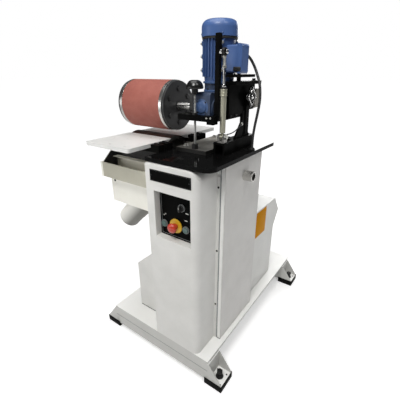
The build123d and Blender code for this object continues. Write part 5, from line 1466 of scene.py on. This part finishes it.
    def build(self) -> None:
        """Dresses the strut, and makes its parts."""
        self.dress(CLEVIS, "strut_foot")
        self.dress(STRUT, "strut_tube")
        self.rod()
        self.pin()
        self.tube()
        self.foot()


@dataclass
class StopScrew(Assembly):
    """The screw that the arm rests on, with its knob."""

    axis_at: Span = (108.0, -290.0)
    thread_low: float = 1062.0
    thread_size: Point = (4.5, 118.0, 1.5)
    tip_low: float = 1001.3
    knob_low: float = 1196.0
    arm_top: float = 1108.0

    def build(self) -> None:
        """Dresses the foot, and makes the rod, the domed knob and the nut on the arm."""
        self.dress(BLACK_OXIDE, "stop_foot")
        x, y = self.axis_at
        rod = Piece("stop_rod").thread((x, y, self.thread_low), UP, *self.thread_size)
        tip = ((0.0, 0.0), (3.4, 0.0), (4.3, 1.4), (4.3, 62.0), (0.0, 62.0))
        rod.turned(tip, (x, y, self.tip_low), UP, 24)
        self.fit(rod, STEEL_Z, "stop_screw", "bright_rod", ("stop_screw",))
        collar = ((0.0, -18.0), (10.4, -18.0), (12.0, -16.6), (12.0, 0.6), (0.0, 0.6))
        dome = ((0.0, 0.0), (12.0, 0.0), (27.0, 0.4), (30.0, 1.6), (31.0, 4.2), (30.8, 8.0),
                (29.4, 13.0), (26.5, 19.0), (22.5, 24.4), (17.5, 28.2), (12.0, 29.8), (10.0, 29.2),
                (0.0, 29.0))
        knob = Piece("stop_knob").turned(collar, (x, y, self.knob_low), UP, 40)
        knob.turned(dome, (x, y, self.knob_low), UP, 72)
        self.fit(knob, KNOB, "stop_screw", "black_plastic", smooth=40.0)
        nut = ((4.9, 0.0), (10.4, 0.0), (10.4, 5.6), (9.4, 6.6), (4.9, 6.6))
        bush = Piece("stop_bush").turned(nut, (x, y, self.arm_top), UP, 6, ring=True)
        self.fit(bush, BLACK_OXIDE, "swing_arm", "machined_steel")


@dataclass
class Handwheel(Assembly):
    """The lobed wheel on the pivot pin."""

    at: Point = (216.7, -83.0, 1163.0)
    lobes: int = 4
    lobe_depth: float = 0.21
    rim_lift: float = 16.2
    rim_reach: float = 25.5
    rim_depth: float = 0.17
    rim_radius: float = 1.7
    rim_steps: int = 96

    def build(self) -> None:
        """Dresses the pin, and makes the wheel, its bright rim and its cap nut."""
        self.dress(STEEL_X, "pivot_pin")
        section = ((5.4, 0.0), (12.0, 0.0), (12.0, 2.6), (24.0, 3.0), (29.5, 4.2), (32.2, 6.6),
                   (33.0, 9.4), (32.2, 12.4), (29.6, 15.0), (26.0, 16.4), (23.0, 16.2),
                   (19.0, 13.6), (14.0, 13.2), (11.5, 15.6), (5.4, 15.6))
        wheel = Piece("star_wheel")
        wheel.turned(section, self.at, RIGHT, 128, True, self.lobes, self.lobe_depth)
        self.fit(wheel, KNOB, "handwheel", "black_plastic", ("handwheel",), smooth=40.0)
        x, y, z = self.at
        line = []
        for step in range(self.rim_steps + 1):
            angle = math.tau * step / self.rim_steps
            reach = self.rim_reach * (1.0 + self.rim_depth * math.cos(self.lobes * angle))
            line.append(Vector((x + self.rim_lift, y + reach * math.cos(angle),
                                z + reach * math.sin(angle))))
        rim = Piece("wheel_rim").tube(line, self.rim_radius, 12)
        self.fit(rim, CHROME, "handwheel", "machined_steel", smooth=60.0)
        section = ((0.0, 15.0), (8.6, 15.0), (8.6, 17.6), (7.4, 19.4), (4.0, 20.6), (0.0, 21.0))
        nut = Piece("wheel_cap_nut").turned(section, self.at, RIGHT, 32)
        self.fit(nut, CHROME, "handwheel", "machined_steel")


@dataclass
class FeedDrive(Assembly):
    """Gearbox, feed motor and terminal box."""

    motor_at: Span = (128.0, -162.0)
    lid_at: Point = (128.0, -276.0, 1134.0)
    lid_screw_y: float = -277.4
    lid_circle: float = 25.4
    lid_head: Head = (2.6, 2.2)
    cap_at: Point = (170.0, -225.0, 1130.0)
    bearing_at: Point = (170.0, -225.0, 1127.0)
    bearing_circle: float = 35.0
    bearing_turns: tuple[float, ...] = (30.0, 90.0, 150.0)
    bearing_head: Head = (4.2, 4.0)
    flanges: tuple[Span, ...] = ((1183.0, 57.0), (1212.0, 60.0))
    flange_bolt_z: float = 1190.0
    flange_circle: float = 52.5
    flange_turn: float = 15.0
    flange_head: Head = (9.0, 6.0)
    neck_low: float = 1189.5
    front_screws_x: Span = (60.0, 78.0)
    front_screws_yz: Span = (-251.0, 1117.0)
    front_head: Head = (4.4, 4.0)
    cowl_radius: float = 66.0
    cowl_low: float = 1366.0
    cowl_screw_z: float = 1374.0
    cowl_head: Head = (3.4, 2.0)
    lug_turns: tuple[float, ...] = (40.0, 130.0, 220.0, 310.0)
    lug_z: tuple[float, ...] = (1257.0, 1303.0, 1345.0)
    lug_start: float = 50.0
    lug_half: Span = (5.5, 8.0)
    lug_head: Head = (7.0, 4.6, 5.2)
    lid_x: float = 242.0
    box_screws_y: Span = (-199.0, -156.0)
    box_screws_z: Span = (1255.0, 1331.0)
    box_head: Head = (3.2, 2.0)
    bright_screws: tuple[Point, ...] = ((167.0, -302.0, 1101.0), (184.0, -302.0, 1102.0))
    bright_head: Head = (3.4, 2.8)
    nipple_at: Point = (69.0, -225.0, 1176.0)
    plug_low: Point = (214.0, -213.0, 1253.0)
    plug_high: Point = (242.0, -204.0, 1268.0)

    def covers(self) -> None:
        """Puts the lid, the cap and the flanges on the gearbox, and the neck between these."""
        mx, my = self.motor_at
        lid = ((0.0, 7.6), (9.0, 7.6), (10.5, 6.4), (17.0, 6.4), (20.5, 4.8), (22.0, 1.8),
               (28.5, 1.4), (29.6, 0.0), (29.6, -2.0), (0.0, -2.0))
        cover = Piece("gear_cover").turned(lid, self.lid_at, FRONT, 56)
        cap = ((0.0, 0.0), (20.0, 0.0), (20.0, 5.0), (18.6, 6.6), (0.0, 7.0))
        cover.turned(cap, self.cap_at, RIGHT, 40)
        for low, reach in self.flanges:
            flange = ((48.0, 0.0), (reach - 1.0, 0.0), (reach, 1.0), (reach, 6.0), (reach - 1.0, 7.0),
                      (48.0, 7.0))
            cover.turned(flange, (mx, my, low), UP, 64, ring=True)
        self.fit(cover, GEAR_LIGHT, "swing_arm", "gear_paint", smooth=45.0)
        gap = ((48.0, 0.0), (54.6, 0.0), (54.6, 23.0), (48.0, 23.0))
        neck = Piece("motor_neck").turned(gap, (mx, my, self.neck_low), UP, 64, ring=True)
        self.fit(neck, GEAR_BLUE, "swing_arm", "gear_paint")

    def gear_screws(self) -> None:
        """Fits the screws of the flange, the lid, the bearing and the gearbox's front."""
        screws = Piece("gear_screws")
        angles = [math.radians(turn + self.flange_turn) for turn in range(0, 360, 60)]
        for at in around((*self.motor_at, self.flange_bolt_z), self.flange_circle, UP, angles):
            screws.bolt(at, UP, *self.flange_head)
        angles = [math.radians(turn) for turn in range(45, 360, 90)]
        lid = (self.lid_at[0], self.lid_screw_y, self.lid_at[2])
        for at in around(lid, self.lid_circle, FRONT, angles):
            screws.cap_screw(at, FRONT, *self.lid_head)
        angles = [math.radians(turn) for turn in self.bearing_turns]
        for at in around(self.bearing_at, self.bearing_circle, RIGHT, angles):
            screws.cap_screw(at, RIGHT, *self.bearing_head)
        for x in self.front_screws_x:
            screws.cap_screw((x, *self.front_screws_yz), FRONT, *self.front_head)
        self.fit(screws, BLACK_OXIDE, "swing_arm", "machined_steel")

    def motor_pieces(self) -> None:
        """Fits the motor's lugs with their bolts, its painted screws and a black ring under the cowl as
        painted shade.
        """
        mx, my = self.motor_at
        bolts, painted = Piece("motor_bolts"), Piece("motor_screws")
        reach = self.cowl_radius - 0.5
        half, high = self.lug_half
        for angle in map(math.radians, self.lug_turns):
            way = (math.cos(angle), math.sin(angle), 0.0)
            at = (mx + self.cowl_radius * way[0], my + self.cowl_radius * way[1], self.cowl_screw_z)
            painted.dome_screw(at, way, *self.cowl_head)
            place = Matrix.Translation((mx, my, 0.0)) @ Matrix.Rotation(angle, 4, "Z")
            for z in self.lug_z:
                painted.block((self.lug_start, -half, z - high), (reach, half, z + high), 1.6, 3, place)
                bolts.bolt((mx + reach * way[0], my + reach * way[1], z), way, *self.lug_head)
        for y, z in product(self.box_screws_y, self.box_screws_z):
            painted.dome_screw((self.lid_x - 0.6, y, z), RIGHT, *self.box_head)
        # the lugs and the painted screws take the same darker blue
        self.fit(painted, SHADED_BLUE, "swing_arm", "blue_paint")
        self.fit(bolts, ZINC, "swing_arm", "machined_steel")
        # painted shade: a black ring in the gap between the cowl and the fins
        ring = ((50.0, -7.5), (63.4, -7.5), (64.2, -6.6), (64.2, -0.3), (50.0, -0.3))
        seal = Piece("cowl_shade_ring").turned(ring, (mx, my, self.cowl_low), UP, 72, ring=True)
        self.fit(seal, RUBBER, "swing_arm", "black_rubber")

    def bright_pieces(self) -> None:
        """Fits two bright screws and the grease nipple, and the terminal box's plug."""
        bright = Piece("arm_bright_screws")
        for at in self.bright_screws:
            bright.cap_screw(at, FRONT, *self.bright_head)
        nipple = ((0.0, 0.0), (4.2, 0.0), (4.2, 3.0), (2.3, 4.0), (2.3, 7.0), (3.0, 8.4), (2.2, 10.4),
                  (0.0, 11.0))
        bright.turned(nipple, self.nipple_at, UP, 16)
        self.fit(bright, ZINC, "swing_arm", "machined_steel")
        plug = Piece("terminal_plug").block(self.plug_low, self.plug_high, 4.0, 4)
        self.fit(plug, PLASTIC, "swing_arm", "black_plastic", smooth=45.0)

    def build(self) -> None:
        """Dresses gearbox, motor and terminal box, and fits what is on them."""
        self.dress(GEAR_BLUE, "gearbox")
        self.dress(BLUE, "fan_cowl", "terminal_box")
        # the finned body takes the darker blue as painted shade between its fins
        self.dress(SHADED_BLUE, "feed_motor")
        self.covers()
        self.gear_screws()
        self.motor_pieces()
        self.bright_pieces()


@dataclass
class SwingArm(Assembly):
    """The arm's plates and post, and the base and fork that carry them."""

    bar_low: Point = (208.0, -24.0, 1116.0)
    bar_high: Point = (215.0, 14.0, 1190.0)
    bar_screw_y: float = -19.0
    bar_screw_z: Span = (1124.0, 1182.0)
    bar_head: Head = (3.4, 2.6)
    side_screws: tuple[Point, ...] = ((208.0, -206.0, 1101.0), (208.0, -166.0, 1101.0))
    side_head: Head = (5.0, 4.0)
    top_bolts: tuple[tuple[Point, Head], ...] = (
        ((213.0, -164.0, 1244.0), (13.0, 3.6)), ((213.0, -40.0, 1221.0), (13.0, 8.0, 11.0)))
    base_x: float = 203.0
    base_y: tuple[float, ...] = (-236.0, -204.0, -56.0)
    base_top: float = 1014.0
    base_head: Head = (5.0, 4.4)

    def build(self) -> None:
        """Dresses the arm, and fits the side plate's bar and the screws of plates and base."""
        self.dress(BLACK, "arm_plate", "arm_side_plate", "arm_top_plates", "arm_post", "arm_base",
                   "rear_fork")
        self.dress(IRON, "bearing_block")
        bar = Piece("side_plate_bar").block(self.bar_low, self.bar_high, 1.4)
        for z in self.bar_screw_z:
            bar.cap_screw((self.bar_high[0], self.bar_screw_y, z), RIGHT, *self.bar_head)
        self.fit(bar, DULL_STEEL, "swing_arm", "machined_steel")
        screws = Piece("arm_screws")
        for at in self.side_screws:
            screws.cap_screw(at, RIGHT, *self.side_head)
        for at, head in self.top_bolts:
            screws.bolt(at, UP, *head)
        self.fit(screws, BLACK_OXIDE, "swing_arm", "machined_steel")
        base = Piece("base_screws")
        for y in self.base_y:
            base.cap_screw((self.base_x, y, self.base_top), UP, *self.base_head)
        self.fit(base, BLACK_OXIDE, "frame", "machined_steel")


@dataclass(frozen=True)
class Lamp:
    """One soft square lamp.

    Args:
        name: what it is called.
        at: where it hangs.
        aim: the point that it looks at.
        size: the length of its side.
        power: its strength in watts.
        tint: its colour.
        beam: how wide its light spreads, in degrees.
    """

    name: str
    at: Point
    aim: Point
    size: float
    power: float
    tint: Colour = (1.0, 1.0, 1.0)
    beam: float = 180.0

    def hang(self) -> None:
        """Hangs the lamp in the scene."""
        lamp = bpy.data.lights.new(self.name, "AREA")
        lamp.spread = math.radians(self.beam)
        lamp.size = self.size
        lamp.energy = self.power
        lamp.color = self.tint
        holder = bpy.data.objects.new(self.name, lamp)
        holder.location = self.at
        way = Vector(self.aim) - Vector(self.at)
        holder.rotation_euler = way.to_track_quat("-Z", "Y").to_euler()
        bpy.context.scene.collection.objects.link(holder)


MIDDLE: Point = (0.0, -0.1, 0.8)
LAMPS: tuple[Lamp, ...] = (
    Lamp("top_lamp", (-0.3, -0.4, 3.6), MIDDLE, 2.2, 42.0),
    Lamp("key_lamp", (0.62, -2.3, 3.6), MIDDLE, 1.2, 70.0, (1.0, 0.99, 0.97)),
    Lamp("fill_lamp", (1.8, -0.7, 3.4), MIDDLE, 0.9, 15.0, (0.98, 0.99, 1.0)),
    Lamp("left_lamp", (-1.9, -2.3, 1.3), (-0.15, -0.4, 0.6), 1.0, 6.0),
    Lamp("rear_lamp", (0.2, 3.2, 2.2), (0.0, 0.0, 0.6), 1.0, 30.0),
    Lamp("low_lamp", (1.3, 1.3, 0.8), (0.24, 0.15, 0.4), 0.6, 1.6),
    Lamp("trough_lamp", (-0.75, -1.5, 1.16), (-0.14, -0.37, 0.87), 0.5, 0.20, beam=35.0),
    Lamp("back_panel", (-0.75, 2.9, 1.7), (0.2, 0.0, 1.0), 1.1, 22.0),
)


@dataclass
class Studio:
    """Pale floor, soft light and the camera."""

    camera_at: Point = (0.7705, -1.194, 1.250)
    camera_turn: Point = (66.8, 0.0, 35.3)
    lens: float = 26.8
    sensor: float = 36.0
    sight: float = 100.0
    floor_size: float = 120.0
    paper_tones: tuple[Colour, Colour] = ((0.90, 0.90, 0.90), (0.92, 0.92, 0.92))
    glow_near: float = 0.40
    glow_far: float = 0.98
    glow_reach: float = 5.0
    glow_share: float = 0.25
    seen_sky: float = 1.0
    sky_light: float = 0.03

    def paper(self) -> bpy.types.Material:
        """Makes the floor's pale paper, which glows more further off, and lights the machine little.

        Returns:
            The floor's material.
        """
        material = bpy.data.materials.new("studio_paper")
        bench = NodeBench(material)
        place = bench.add("ShaderNodeTexCoord").outputs["Object"]
        shader = bench.add("ShaderNodeBsdfPrincipled", Roughness=0.9, Specular_IOR_Level=0.1,
                           Emission_Color=PURE_WHITE)
        tone = bench.blend(bench.cloud(place, 0.6, 5.0, 0.5), *self.paper_tones)
        bench.join(tone, shader.inputs["Base Color"])
        reach = bench.add("ShaderNodeMapping", Scale=(1.0 / self.glow_reach,) * 3)
        bench.join(place, reach.inputs["Vector"])
        distance = bench.add("ShaderNodeTexGradient", {"gradient_type": "SPHERICAL"})
        bench.join(reach.outputs["Vector"], distance.inputs["Vector"])
        glow = bench.remap(distance.outputs["Fac"], (0.8, 0.2), (self.glow_near, self.glow_far))
        seen = bench.add("ShaderNodeLightPath").outputs["Is Camera Ray"]
        share = bench.remap(seen, WHOLE, (self.glow_share, 1.0))
        bench.join(bench.times(glow, share), shader.inputs["Emission Strength"])
        out = bench.add("ShaderNodeOutputMaterial")
        bench.join(shader.outputs["BSDF"], out.inputs["Surface"])
        return material

    def floor(self) -> None:
        """Lays the pale floor."""
        form = bmesh.new()
        bmesh.ops.create_grid(form, x_segments=2, y_segments=2, size=self.floor_size / 2)
        data = bpy.data.meshes.new("studio_floor")
        form.to_mesh(data)
        form.free()
        data.materials.append(self.paper())
        floor = bpy.data.objects.new("studio_floor", data)
        bpy.context.scene.collection.objects.link(floor)

    def sky(self) -> None:
        """Makes a white studio that lights the machine more dimly than it looks."""
        world = bpy.data.worlds.new("studio_sky")
        bench = NodeBench(world)
        mix = bench.add("ShaderNodeMixShader")
        which = bench.add("ShaderNodeLightPath")
        bench.join(which.outputs["Is Camera Ray"], mix.inputs["Fac"])
        for index, strength in ((1, self.sky_light), (2, self.seen_sky)):
            glow = bench.add("ShaderNodeBackground", Strength=strength, Color=PURE_WHITE)
            bench.join(glow.outputs["Background"], mix.inputs[index])
        out = bench.add("ShaderNodeOutputWorld")
        bench.join(mix.outputs["Shader"], out.inputs["Surface"])
        bpy.context.scene.world = world

    def camera(self) -> None:
        """Sets up the camera as it stood for the photo."""
        lens = bpy.data.cameras.new("photo_camera")
        lens.lens = self.lens
        lens.sensor_width = self.sensor
        lens.clip_end = self.sight
        camera = bpy.data.objects.new("photo_camera", lens)
        camera.location = self.camera_at
        camera.rotation_euler = tuple(math.radians(angle) for angle in self.camera_turn)
        bpy.context.scene.collection.objects.link(camera)
        bpy.context.scene.camera = camera

    def build(self) -> None:
        """Sets up floor, lamps, sky and camera."""
        self.floor()
        for lamp in LAMPS:
            lamp.hang()
        self.sky()
        bpy.context.scene.view_settings.view_transform = "Standard"
        self.camera()


def main() -> None:
    """Builds the studio and every sub-assembly."""
    logging.basicConfig(level=logging.INFO, format="%(message)s")
    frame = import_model()
    Studio().build()
    for assembly in (MotorCable, Plinth, Column, Controls, Tables, FeedDrum, Strut, StopScrew,
                     Handwheel, FeedDrive, SwingArm):
        assembly(frame).build()


if __name__ == "__main__":
    main()
